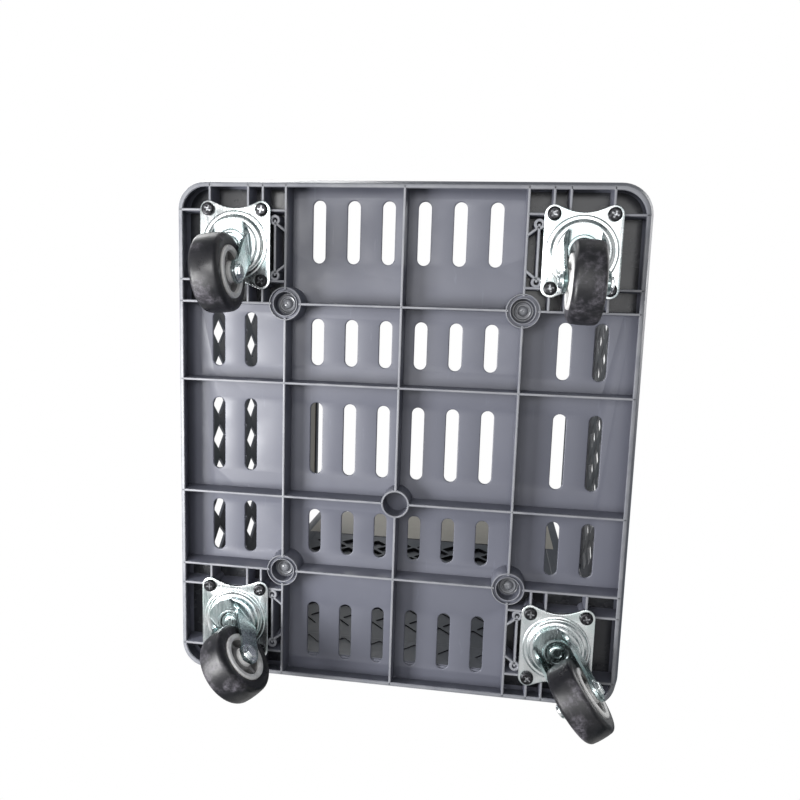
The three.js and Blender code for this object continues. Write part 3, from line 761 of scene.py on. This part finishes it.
def top_plate():
    """The pressed mounting plate: rounded ears, concave short edges, four holes and a raised round race."""
    ear = 7.4
    ex, ey = 29.5 - ear, 35.0 - ear
    loop = arc(ex, -ey, ear, -70, 0, 6) + arc(ex, ey, ear, 0, 110, 8)
    dip = [(x, 34.3 - 5.2 * (1 - (x / 18.5) ** 2)) for x in (14, 9, 4, 0, -4, -9, -14)]
    loop += dip
    loop += arc(-ex, ey, ear, 70, 180, 8) + arc(-ex, -ey, ear, 180, 290, 8)
    loop += [(-x, -y) for x, y in dip]
    loop += arc(ex, -ey, ear, -110, -70, 3)[:-1]
    holes = [circle(2.7, 20, sx * HOLE_X, sy * HOLE_Y) for sx, sy in QUARTERS]
    shape = plate([loop, *holes], PLATE_LOW, PLATE_TOP, 0.5)
    race = [
        (4.5, PLATE_LOW + 1), (28.0, PLATE_LOW + 1), (27.6, PLATE_LOW + 0.05), (26.6, PLATE_LOW - 0.5),
        (25.6, PLATE_LOW - 0.7), (24.7, PLATE_LOW - 0.3), (24.0, PLATE_LOW - 0.5), (23.2, PLATE_LOW - 1.4),
        (22.4, RACE_LOW + 0.3), (21.2, RACE_LOW), (15.0, RACE_LOW), (13.6, RACE_LOW + 0.8),
        (4.5, RACE_LOW + 0.8), (4.5, PLATE_LOW + 1),
    ]
    return shape.add(lathe(race, 72))


def ball_race():
    """The bearing: two pressed cups with a row of balls between them."""
    top, low = BEARING_TOP, BEARING_LOW
    ring = [
        (6.2, low + 0.4), (6.6, low), (17.4, low), (19.2, low + 0.3), (19.9, low + 0.9), (18.2, low + 1.1),
        (18.2, top - 1.1), (19.9, top - 0.9), (19.4, top - 0.2), (18.6, top), (6.6, top), (6.2, top - 0.4),
        (6.2, low + 0.4),
    ]
    shape = lathe(ring, 72)
    ball = lathe(arc(0, 0, 1.2, -90, 90, 8), 12)
    for x, y in circle(18.6, 32):
        shape.add(ball, shift(x, y, (top + low) / 2))
    return shape


def smooth(t):
    t = min(1.0, max(0.0, t))
    return t * t * (3 - 2 * t)


def leg_limits(z):
    """The front and back edge (along the trail) of a fork leg at height z."""
    drop = z - WHEEL_R
    if drop <= 0:
        reach = math.sqrt(max(0.0, EYE * EYE - drop * drop))
        return TRAIL - reach, TRAIL + reach
    crown_front, crown_back = -6.0, 17.5
    t = drop / (FORK_TOP - 4 - WHEEL_R)
    front = TRAIL - EYE - (TRAIL - EYE - crown_front) * smooth(t * 0.98) ** 0.8
    back = TRAIL + EYE - (TRAIL + EYE - crown_back) * smooth(t) ** 1.3
    return front, back


def fork_sheet():
    """The pressed yoke: one bent sheet, a dished round crown with two tapering legs."""
    bend = 4.5
    foot = WHEEL_R - EYE
    steps_up = 14
    stations = []
    for i in range(steps_up + 1):
        z = foot + 0.02 + (FORK_TOP - bend - foot) * (i / steps_up) ** 0.85
        stations.append((-LEG_OUT, z))
    stations += [(y, z) for y, z in arc(-LEG_OUT + bend, FORK_TOP - bend, bend, 180, 90, 5)][1:]
    stations += [(y, FORK_TOP) for y in (-9, -5, 0, 5, 9)]
    stations += [(-y, z) for y, z in reversed(stations[:19])]
    across, crown_radius = 12, 20.5
    outer, inner = [], []
    count = len(stations)
    for k, (y, z) in enumerate(stations):
        before = Vector(stations[max(0, k - 1)])
        after = Vector(stations[min(count - 1, k + 1)])
        along = (after - before).normalized()
        inward = Vector((along.y, -along.x))
        if z >= FORK_TOP - bend:
            share = (z - FORK_TOP + bend) / bend
            front, back = leg_limits(min(z, FORK_TOP - bend))
            round_x = math.sqrt(max(1.0, crown_radius**2 - y * y))
            front = front * (1 - share) - round_x * share
            back = back * (1 - share) + round_x * 0.92 * share
        else:
            front, back = leg_limits(z)
        for i in range(across + 1):
            x = front + (back - front) * i / across
            outer.append(Vector((x, y, z)))
            inner.append(Vector((x, y + inward.x * FORK_THICK, z + inward.y * FORK_THICK)))
    shape = Shape(outer + inner)
    offset, width = len(outer), across + 1
    for k in range(count - 1):
        for i in range(across):
            near, far = k * width + i, (k + 1) * width + i
            loop = (near, near + 1, far + 1, far)
            shape.faces += [loop, tuple(offset + corner for corner in reversed(loop))]
        for near in (k * width, k * width + across):
            shape.faces.append((near, near + width, offset + near + width, offset + near))
    for k in (0, count - 1):
        for near in range(k * width, k * width + across):
            shape.faces.append((near, near + 1, offset + near + 1, offset + near))
    return shape


def fork_crown():
    """The rings pressed into the yoke's crown and the riveted kingpin."""
    low = FORK_TOP - FORK_THICK
    rings = [
        (0, low - 0.9), (3.0, low - 0.85), (3.4, low - 1.25),
        (5.4, low - 1.2), (6.3, low - 0.5), (6.6, low + 0.1),
        (8.0, low + 0.15), (8.8, low - 0.75), (10.0, low - 1.0), (11.4, low - 0.75), (12.1, low + 0.1),
        (12.0, low + 1.0), (0, low + 1.0),
    ]
    pin = [(0, low), (4.0, low), (4.0, PLATE_TOP - 0.6), (0, PLATE_TOP - 0.6)]
    return lathe(rings, 64).add(lathe(pin, 32))


def hex_nut(across, height, z):
    radius = across / math.sqrt(3)
    return plate([rounded_polygon(circle(radius, 6), 0.5)], z, z + height, 0.6)


def axle_bolt():
    """The axle along Y: shank, washer and flanged head on one side, washer and nut on the other."""
    seat = LEG_OUT + 0.25
    shank = [(0, -seat - 3.3), (3.0, -seat - 3.3), (3.4, -seat - 2.9)]
    shank += [(4.0, -seat - 2.4), (4.0, seat), (0, seat)]
    washer = [(4.2, 0), (7.4, 0), (7.6, 0.3), (7.4, 0.8), (4.2, 0.8), (4.2, 0)]
    head = [
        (0, 3.3), (2.2, 3.3), (2.6, 2.5), (3.2, 2.5), (3.6, 3.3),
        (4.4, 3.2), (5.2, 2.5), (5.4, 0.8), (0, 0.8),
    ]
    right = shift(0, seat, 0) @ AXIS_Y
    left = shift(0, -seat, 0) @ about_z(180) @ AXIS_Y
    shape = lathe(shank, 32).moved(AXIS_Y)
    shape.add(lathe(washer, 40), right).add(lathe(head, 40), right)
    return shape.add(lathe(washer, 40), left).add(hex_nut(9.2, 2.6, 0.6), left)


def hub():
    """The wheel's body about Z: a rim, six spokes on a thin web, and a long boss."""
    half = 12.2
    rim_ring = [
        (15.0, -2.0), (15.4, -half + 2.6), (15.8, -half + 0.6), (16.6, -half),
        (19.2, -half), (19.8, -half + 0.5), (20.0, -half + 1.2),
    ]
    boss = [(4.3, -12.3), (5.0, -12.6), (7.2, -12.6), (7.9, -12.0), (8.2, -9.4), (9.6, -8.6), (10.4, -7.0)]
    web = [(8.5, -1.6), (16.2, -1.6)]
    shape = lathe(both_ends(rim_ring), 72).add(lathe(both_ends(boss), 48)).add(lathe(both_ends(web), 72))
    waisted = [(-1.7, -8.2), (1.7, -8.2), (1.3, 0), (1.7, 8.2), (-1.7, 8.2), (-1.3, 0)]
    spoke = bar((9.6, 0), (16.0, 0), waisted)
    for i in range(6):
        shape.add(spoke, about_z(60 * i))
    return shape


def in_hub_shade(centre, normal):
    """Whether a face lies in the hollow between the hub's boss and its rim, which gets painted shade."""
    return 8.0 < math.hypot(centre.x, centre.y) < 15.35 and abs(centre.z) < 9.5


def tread():
    """The tyre's section turned about Z: flat sides, round shoulders and a slightly crowned tread."""
    half = TYRE_HALF
    shoulder = arc(WHEEL_R - 4.6, half - 4.2, 4.2, 90, 0, 8)
    side = [(20.2, -half + 0.9), (21.4, -half + 0.3)]
    profile = side + [(r, -z) for r, z in shoulder] + [(WHEEL_R - 0.1, -4), (WHEEL_R, 0), (WHEEL_R - 0.1, 4)]
    profile += [(r, z) for r, z in reversed(shoulder)] + [(21.4, half - 0.3), (20.2, half - 0.9)]
    return lathe(profile + [profile[0]], 96)


def add_caster(name, sx, sy, yaw):
    mount = shift(sx * CASTER_X, sy * CASTER_Y, 0)
    swivel = mount @ about_z(yaw)
    axle = swivel @ shift(TRAIL, 0, WHEEL_R)
    wheel = axle @ AXIS_Y
    fork, turning = "fork_" + name, "wheel_" + name
    hollow = (("hub_painted_shade", in_hub_shade),)
    made = (
        ("top_plate_", top_plate(), "zinc", "base", "zinc", "caster_plate_", mount, 40, ()),
        ("ball_race_", ball_race(), "zinc", "base", "zinc", "caster_bearing_", mount, 40, ()),
        ("yoke_", fork_sheet().add(fork_crown()), "yoke", fork, "zinc", "caster_fork_", swivel, 40, ()),
        ("axle_", axle_bolt(), "zinc", fork, "zinc", "axle_bolt_", axle, 30, ()),
        ("hub_", hub(), "hub", turning, "hub", "wheel_hub_", wheel, 30, hollow),
        ("tread_", tread(), "tyre", turning, "tyre", "wheel_tyre_", wheel, 40, ()),
    )
    for prefix, shape, finish, body, slot, node, place, angle, accents in made:
        add_piece(prefix + name, shape, finish, body, node + name, place, angle, accents)
    # The screws' cross recesses get a painted highlight.
    screw, glint = phillips_screw(), (("recess", in_recess),)
    for number, (ax, ay) in enumerate(QUARTERS, 1):
        place = mount @ shift(ax * HOLE_X, ay * HOLE_Y, PLATE_LOW - 0.3) @ about_z(37 * number + yaw)
        label = f"{name}_{number}"
        node = "caster_screw_" + label
        add_piece("plate_screw_" + label, screw, "screw", "base", node, place, accents=glint)


SCREW_HEIGHT = 2.4
SCREW_FACE = 3.7


def in_recess(centre, normal):
    """Whether a face belongs to the cross-shaped recess of a screw's head."""
    return math.hypot(centre.x, centre.y) < SCREW_FACE - 0.6 and -SCREW_HEIGHT + 0.05 < centre.z < -0.9


def phillips_screw():
    """A pan-head screw, head down, whose top face is built round a cross-shaped recess."""
    height = SCREW_HEIGHT
    arm, width = 2.9, 0.7
    cross = [
        (arm, -width), (arm, width), (width, width), (width, arm), (-width, arm), (-width, width),
        (-arm, width), (-arm, -width), (-width, -width), (-width, -arm), (width, -arm), (width, -width),
    ]
    cross = rounded_polygon(cross, 0.18, 1)
    face = plate([circle(SCREW_FACE, 36), cross], -height, -height + 0.8)
    floor = plate([circle(SCREW_FACE - 0.4, 24)], -height + 0.7, -height + 1.5)
    dome = [
        (SCREW_FACE - 0.05, -height), (4.5, -height + 0.25), (5.1, -height + 0.9),
        (5.3, -height + 1.6), (5.3, -0.2), (5.1, 0), (3.3, 0), (3.3, -height + 1.15),
        (SCREW_FACE - 0.05, -height),
    ]
    shank = [(0, -1.0), (3.4, -1.0), (3.4, 0), (1.9, 0), (1.9, 12.0), (0.6, 14.0), (0, 14.0)]
    return face.add(floor).add(lathe(dome, 40)).add(lathe(shank, 20))


# ---------------------------------------------------------------- walls
def diamonds(rows, half_y, z0, z1):
    """Loops of the lattice's diamonds that fit whole between -half_y and half_y, and z0 and z1."""
    loops = []
    start, pitch, high = rows
    first = math.ceil((z0 + high - start) / pitch)
    last = math.floor((z1 - high - start) / pitch)
    for row in range(first, last + 1):
        z = start + row * pitch
        offset = 0.0 if row % 2 else DIAMOND_PITCH / 2
        reach = math.ceil(half_y / DIAMOND_PITCH) + 1
        for column in range(-reach, reach + 1):
            y = column * DIAMOND_PITCH + offset
            if abs(y) + DIAMOND_LONG > half_y:
                continue
            corners = [(y - DIAMOND_LONG, z), (y, z - high), (y + DIAMOND_LONG, z), (y, z + high)]
            loops.append(rounded_polygon(corners, 1.6, 3))
    return loops


def s_curve(y0, z0, y1, z1, steps=12):
    """Points on a smooth S that starts and ends level."""
    points = []
    for i in range(steps + 1):
        t = i / steps
        bend = 3 * t * (1 - t)
        y = y0 * (1 - t) ** 3 + bend * (y0 + y1) / 2 + y1 * t**3
        z = z0 * ((1 - t) ** 3 + bend * (1 - t)) + z1 * (t**3 + bend * t)
        points.append((y, z))
    return points


def upright(sign):
    """Turns a flat plate, drawn in (y, z) with its thickness along z, to stand with its thickness along x."""
    turn = Matrix(((0, 0, sign, 0), (1, 0, 0, 0), (0, 1, 0, 0), (0, 0, 0, 1)))
    return shift(sign * WALL_X, 0, 0) @ turn


def lattice_sheet(half_y, z0, z1):
    """The thin sheet of crossing bars that fills a wall's frame, with a margin under the frame."""
    sheet = rectangle(half_y - WALL_FRAME + 1, z0 + WALL_FRAME - 1, z1 - WALL_FRAME + 1)
    holes = diamonds(SIDE_ROWS, half_y - WALL_FRAME, z0 + WALL_FRAME, z1 - WALL_FRAME)
    return plate([sheet, *holes], -1.5, 1.5, 0.4)


def lower_half(z0, z1):
    half = WALL_THICK / 2
    opening = rectangle(WALL_HALF - WALL_FRAME, z0 + WALL_FRAME, z1 - WALL_FRAME)
    loops = [rounded_polygon(rectangle(WALL_HALF, z0, z1), 2.5), rounded_polygon(opening, 5.0, 5)]
    return plate(loops, -half, half, 0.9).add(lattice_sheet(WALL_HALF, z0, z1))


INSERT_HALF = 1.3


def on_side_insert(centre, normal):
    """Whether a face is one of the two broad faces of the plain panel in a side wall's raised rear part."""
    return centre.z > WALL_FRONT_TOP - 3 and abs(abs(abs(centre.x) - WALL_X) - INSERT_HALF) < 0.05


def upper_half(z0):
    """The upper half: a lattice up to the lower front edge, and a plain panel in the raised rear part."""
    half, inset, wide = WALL_THICK / 2, WALL_FRAME, UPPER_HALF - WALL_FRAME
    low, high = WALL_FRONT_TOP, WALL_TOP
    outline = [(-UPPER_HALF, z0), (UPPER_HALF, z0), (UPPER_HALF, high)]
    outline += s_curve(CREST_BACK, high, CREST_FRONT, low) + [(-UPPER_HALF, low)]
    opening = rounded_polygon(rectangle(wide, z0 + inset, low - inset), 5.0, 5)
    pocket = [(CREST_BACK - 8, low), (wide, low), (wide, high - inset)]
    pocket += [(y + inset, z) for y, z in s_curve(CREST_BACK, high - inset, CREST_FRONT + 15, low + 2)]
    shape = plate([outline, opening, pocket], -half, half, 0.9)
    shape.add(lattice_sheet(UPPER_HALF, z0, low))
    panel = [(-15, low - 2), (wide + 2, low - 2), (wide + 2, high - 10), (14, high - 10)]
    return shape.add(plate([panel], -INSERT_HALF, INSERT_HALF))


def hinge_pin(radius, y0, y1):
    length = y1 - y0
    profile = [(0, 0), (radius, 0), (radius, length - 0.5), (radius - 0.5, length), (0, length)]
    return lathe(profile, 24).moved(shift(0, y0, 0) @ AXIS_Y)


def mirrored(sign_y):
    return Matrix.Scale(sign_y, 4, (0, 1, 0))


def hinge_ear(mid_x, mid_z):
    """One ear of a lower wall half, drawn in (x, z), that carries the pin of the upper half."""
    back, front = WALL_X - 2, mid_x + EAR
    loop = [(back, mid_z - 16), (front - 3, mid_z - 12), (front, mid_z - 3)]
    loop += [(front, mid_z + EAR), (back, mid_z + EAR)]
    return plate([rounded_polygon(loop, 2.0)], -3.0, 3.0, 0.6)


def on_lit_lattice_edge(centre, normal):
    """Whether a face is the steep side of one of the lattice's diamonds, which on the right wall gets a
    painted highlight.
    """
    reach = UPPER_HALF - WALL_FRAME - 2
    return abs(normal.x) < 0.5 and abs(centre.x - WALL_X) < 1.4 and abs(centre.y) < reach


def add_side_walls():
    for side, sign in SIDES.items():
        pin_z = DECK_Z + LEVEL[side]
        mid_z = (pin_z + WALL_TOP) / 2
        mid_x = WALL_X + WALL_THICK / 2 + 0.3
        knuckle = UPPER_HALF - 34
        stand = upright(sign)
        lower = lower_half(pin_z - WALL_THICK / 2, mid_z - HINGE_GAP).moved(stand)
        upper = upper_half(mid_z + HINGE_GAP).moved(stand)
        stand_ear = Matrix(((sign, 0, 0, 0), (0, 0, 1, 0), (0, 1, 0, 0), (0, 0, 0, 1)))
        x0, x1 = sorted((sign * WALL_X, sign * (WALL_X + 3.5)))
        for end in (-1, 1):
            flip = mirrored(end)
            axis = flip @ shift(sign * mid_x, 0, mid_z)
            lower.add(hinge_pin(3.0, WALL_HALF - 1, LUG_OUTER - 0.5), flip @ shift(sign * WALL_X, 0, pin_z))
            lower.add(hinge_ear(mid_x, mid_z), flip @ shift(0, WALL_HALF - 3.5, 0) @ stand_ear)
            upper.add(hinge_pin(4.5, knuckle, UPPER_HALF), axis)
            upper.add(hinge_pin(3.0, UPPER_HALF - 1, WALL_HALF - 1), axis)
            upper.add(block(x0, x1, knuckle, UPPER_HALF - 0.5, mid_z, mid_z + HINGE_GAP + 2, 0.6), flip)
        for half, shape in (("lower", lower), ("upper", upper)):
            name = f"{side}_wall_{half}"
            accents = [("insert", on_side_insert)]
            # Only the right wall's diamond sides get the pale painted highlight.
            if side == "right":
                accents.append(("painted_highlight_edge", on_lit_lattice_edge))
            add_piece(f"{side}_lattice_{half}", shape, "wall", name, name, accents=accents)


def in_pocket_shadow(centre, normal):
    """Whether a face is one of the steep sides of the back panel's blind diamonds, which get a near-black
    painted shadow.
    """
    low = DECK_Z + LEVEL["back"] + WALL_FRAME - 2
    return abs(normal.y) < 0.6 and abs(centre.x) < BACK_X - WALL_FRAME - 1 and low < centre.z < BLIND_TOP + 1


INSERT_FACE = 4.15


def on_back_insert(centre, normal):
    """Whether a face is the front of the smooth band across the top of the back panel."""
    return abs(BACK_Y - centre.y - INSERT_FACE) < 0.05 and centre.z > BLIND_TOP


def add_back_panel():
    """A stepped frame round a solid web with blind diamonds, deep in its upper part and shallow below."""
    pin_z = DECK_Z + LEVEL["back"]
    z0 = pin_z - 4
    inset = WALL_FRAME
    right = [
        (BACK_X, z0), (BACK_X, BACK_SHOULDER), (BACK_WIDE, BACK_SHOULDER), (BACK_WIDE, BACK_EAR),
        (BACK_EAR_X, BACK_EAR), (BACK_EAR_X, BACK_TOP), (BACK_CROWN_X, BACK_TOP), (BACK_CROWN_X, BACK_CROWN),
    ]
    outline = right + [(-x, z) for x, z in reversed(right)]
    opening = rounded_polygon(rectangle(BACK_X - inset, z0 + inset, BACK_TOP - inset), 5.0, 5)
    shape = plate([rounded_polygon(outline, 2.0), opening], -4, 4, 0.9)
    wide, low, high = BACK_X - inset + 2, z0 + inset - 2, BACK_TOP - inset + 2
    shape.add(plate([rectangle(wide, low, high)], -2.2, -0.6))
    shallow = diamonds(BACK_ROWS, BACK_X - inset, z0 + inset, BLIND_DEEP)
    deep = diamonds(BACK_ROWS, BACK_X - inset, BLIND_DEEP - 4, BLIND_TOP)
    shape.add(plate([rectangle(wide, low, BLIND_DEEP)], -0.7, 2.2))
    shape.add(plate([rectangle(wide, low, BLIND_DEEP), *shallow], 2.1, 3.4))
    shape.add(plate([rectangle(wide, BLIND_DEEP - 0.2, high), *deep], -0.7, 3.4))
    shape.add(plate([rectangle(BACK_X - 2, BLIND_TOP + 2, BACK_TOP - 2)], 3.2, INSERT_FACE))
    shape = shape.moved(shift(0, BACK_Y, 0) @ FACING_Y)
    for end in (-1, 1):
        pin = lathe([(0, 0), (3, 0), (3, 7.5), (2.5, 8), (0, 8)], 24)
        shape.add(pin, Matrix.Scale(end, 4, (1, 0, 0)) @ shift(BACK_X - 1, BACK_Y, pin_z) @ AXIS_X)
    # The sides of the blind diamonds get painted shadow.
    accents = (("painted_shadow_line", in_pocket_shadow), ("insert", on_back_insert))
    add_piece("back_panel_moulding", shape, "wall", "back_panel", "back_panel", accents=accents)


# ---------------------------------------------------------------- handle
def add_sleeves_and_tubes():
    outer = rounded_rectangle(11, 8, 3.5)
    waist = rounded_rectangle(10.2, 7.2, 3.0)
    bore = circle(7.3, 40)
    collar_height = 22
    inner, tube_radius = 5.6, 7.0
    sleeve = plate([waist, bore], SLEEVE_BOTTOM + 4, SLEEVE_TOP - 4, 0.3)
    for z0 in (SLEEVE_BOTTOM, SLEEVE_TOP - collar_height):
        sleeve.add(plate([outer, bore], z0, z0 + collar_height, 0.8))
    tube = [(inner, SLEEVE_BOTTOM), (tube_radius, SLEEVE_BOTTOM), (tube_radius, TUBE_TOP), (inner, TUBE_TOP)]
    stem = lathe(tube + tube[:1], 48)
    for side, sign in SIDES.items():
        place = shift(sign * HANDLE_X, HANDLE_Y, 0)
        add_piece("sleeve_" + side, sleeve, "grip", "back_panel", "handle_sleeve_" + side, place)
        add_piece("tube_" + side, stem, "tube", "handle", "handle_tube_" + side, place)


def cut_away(piece, shape, matrix):
    """Cuts a solid shape out of a piece."""
    cutter = make_object("cutter", shape, matrix, MATERIALS["grip"])
    cut = piece.modifiers.new("cut", "BOOLEAN")
    cut.object, cut.solver, cut.use_self = cutter, "EXACT", True
    graph = bpy.context.evaluated_depsgraph_get()
    result = bpy.data.meshes.new_from_object(piece.evaluated_get(graph))
    piece.modifiers.clear()
    piece.data = result
    result.set_sharp_from_angle(angle=math.radians(35))
    bpy.data.objects.remove(cutter)


def add_grip():
    """The grip bar with end caps, moulded grooves and two sockets for the tubes."""
    half = 113.0
    end = [(0, -half), (8.5, -half), (11.0, -half + 1.5), (12.0, -half + 4), (12.0, -80), (11.4, -79)]
    profile = list(end)
    for i in range(17):
        z = -72 + i * 9
        if abs(z) > 12:
            profile += [(11.4, z - 2.2), (10.7, z - 1.4), (10.7, z + 1.4), (11.4, z + 2.2)]
    profile += [(radius, -z) for radius, z in reversed(end)]
    shape = lathe(profile, 64).moved(shift(0, HANDLE_Y, GRIP_Z) @ AXIS_X)
    low, high = SOCKET_Z, GRIP_Z - 2
    socket = [(7.2, low), (10.4, low), (11.0, low + 1), (11.0, high), (7.2, high), (7.2, low)]
    for sign in (-1, 1):
        shape.add(lathe(socket, 48), shift(sign * HANDLE_X, HANDLE_Y, 0))
    collar = [(7.5, 10), (9.6, 10), (9.2, 12.0), (8.6, 12.4), (7.5, 12.2), (7.5, 10)]
    shape.add(lathe(collar, 48), shift(0, HANDLE_Y, GRIP_Z))
    piece = make_object("grip_bar", shape, HERE, MATERIALS["grip"])
    low, high = (corner.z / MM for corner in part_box("release_button"))
    well = [(0, low - 2.8), (7.4, low - 2.8), (7.4, high + 5), (0, high + 5)]
    place = shift(0, HANDLE_Y, 0)
    cut_away(piece, lathe(well, 48), place)
    finish_piece(piece, "handle", "handle_grip")
    cap = [(0, low), (7.0, low), (7.0, high - 1.2), (6.4, high - 0.3), (5.0, high), (0, high - 0.4)]
    add_piece("thumb_button", lathe(cap, 40), "button", "release_button", "release_button", place)


# ---------------------------------------------------------------- camera, floor and light
FOCAL_LENGTH = 30.68
CAMERA_TURN = (7.41783, -7.65653, -2.32674)  # rotation vector from the cart to the camera, in degrees
CAMERA_PLACE = (73.185, -111.4175, RIM_Z - 541.9585)


def add_camera():
    data = bpy.data.cameras.new("camera")
    data.sensor_width = 36.0
    data.lens = FOCAL_LENGTH
    data.clip_start, data.clip_end = 0.01, 50
    camera = add_to_scene("camera", data)
    bpy.context.scene.camera = camera
    turn = Vector([math.radians(angle) for angle in CAMERA_TURN])
    deck_to_camera = Matrix.Rotation(turn.length, 3, turn.normalized())
    flip = Matrix(((1, 0, 0), (0, -1, 0), (0, 0, -1)))
    rotation = (deck_to_camera @ flip).transposed().to_4x4()
    camera.matrix_world = Matrix.Translation((Vector(CAMERA_PLACE) + CENTRE) * MM) @ rotation


def fresh_nodes(owner, *kinds):
    """Clears the node tree of a material or world and fills it with nodes of the given kinds."""
    owner.use_nodes = True
    owner.node_tree.nodes.clear()
    return [owner.node_tree.nodes.new("ShaderNode" + kind) for kind in kinds]


def wire(owner, *wires):
    """Links nodes: each wire is a node, its output, the next node and its input."""
    for source, output, target, entry in wires:
        owner.node_tree.links.new(source.outputs[output], target.inputs[entry])


def add_floor():
    """A pale floor that only a camera above it sees, so that a view from below isn't blocked."""
    mesh = bpy.data.meshes.new("floor")
    half_size = 6.0
    corners = [(x, y, 0) for x, y in rectangle(half_size, -half_size, half_size)]
    mesh.from_pydata(corners, [], [(0, 1, 2, 3)])
    floor = add_to_scene("floor", mesh)
    material = bpy.data.materials.new("pale_floor")
    kinds = ("OutputMaterial", "MixShader", "BsdfDiffuse", "BsdfTransparent", "LightPath", "NewGeometry")
    output, mix, paint, clear, path, geometry, front, seen = fresh_nodes(material, *kinds, "Math", "Math")
    paint.inputs["Color"].default_value = (0.78, 0.78, 0.78, 1)
    front.operation, seen.operation = "SUBTRACT", "MULTIPLY"
    front.inputs[0].default_value = 1.0
    wire(
        material,
        (geometry, "Backfacing", front, 1), (front, 0, seen, 0), (path, "Is Camera Ray", seen, 1),
        (seen, 0, mix, "Fac"), (clear, 0, mix, 1), (paint, 0, mix, 2), (mix, 0, output, "Surface"),
    )
    floor.data.materials.append(material)


def add_world():
    """White backdrop for the camera, and softer grey light with dark parts, brighter in reflections."""
    world = bpy.data.worlds.new("studio")
    bpy.context.scene.world = world
    kinds = ("OutputWorld", "MixShader", "Background", "Background", "TexCoord", "TexNoise", "ValToRGB")
    output, mix, lighting, backdrop, place, noise, ramp, path, strength = fresh_nodes(
        world, *kinds, "LightPath", "MapRange")
    backdrop.inputs["Color"].default_value = (1, 1, 1, 1)
    backdrop.inputs["Strength"].default_value = 1.0
    noise.inputs["Scale"].default_value = 1.6
    noise.inputs["Detail"].default_value = 1.0
    dark, light = ramp.color_ramp.elements
    dark.position, light.position = 0.42, 0.55
    dark.color, light.color = (0.12, 0.16, 0.17, 1), (1, 1, 1, 1)
    strength.inputs["To Min"].default_value = 0.23
    strength.inputs["To Max"].default_value = 0.62
    wire(
        world,
        (path, "Is Glossy Ray", strength, "Value"), (strength, "Result", lighting, "Strength"),
        (place, "Generated", noise, "Vector"), (noise, "Fac", ramp, "Fac"),
        (ramp, "Color", lighting, "Color"), (path, "Is Camera Ray", mix, "Fac"),
        (lighting, 0, mix, 1), (backdrop, 0, mix, 2), (mix, 0, output, "Surface"),
    )


DECK_MIDDLE, CART_MIDDLE = (0, 0, 0.09), (0, 0, 0.3)
# name, place, target and side of each square lamp in metres, and its power in watts
LAMPS = (
    ("key_below", (-0.55, 0.06, -0.4), DECK_MIDDLE, 0.3, 8.5),
    ("glare_below", (-0.27, -0.27, -0.7), DECK_MIDDLE, 0.2, 1.8),
    ("fill_below", (0.1, -0.3, -1.2), DECK_MIDDLE, 0.9, 6),
    ("key_above", (-1.2, -1.4, 1.8), CART_MIDDLE, 1.4, 45),
    ("fill_above", (1.5, -0.6, 1.2), CART_MIDDLE, 1.2, 18),
)


def add_lights():
    """A strong key from below and to the camera's left, weak fills, and soft lamps above for other views."""
    for name, place, target, side, power in LAMPS:
        data = bpy.data.lights.new(name, "AREA")
        data.shape = "RECTANGLE"
        data.size = data.size_y = side
        data.energy = power
        lamp = add_to_scene(name, data)
        lamp.location = place
        lamp.rotation_euler = (Vector(target) - Vector(place)).to_track_quat("-Z", "Y").to_euler()
    view = bpy.context.scene.view_settings
    view.view_transform = "Standard"
    view.look = "None"


add_platform()
add_ring_screws()
for corner_name, (side_x, side_y, turned) in CORNERS.items():
    add_caster(corner_name, side_x, side_y, turned)
add_side_walls()
add_back_panel()
add_sleeves_and_tubes()
add_grip()
add_camera()
add_floor()
add_world()
add_lights()
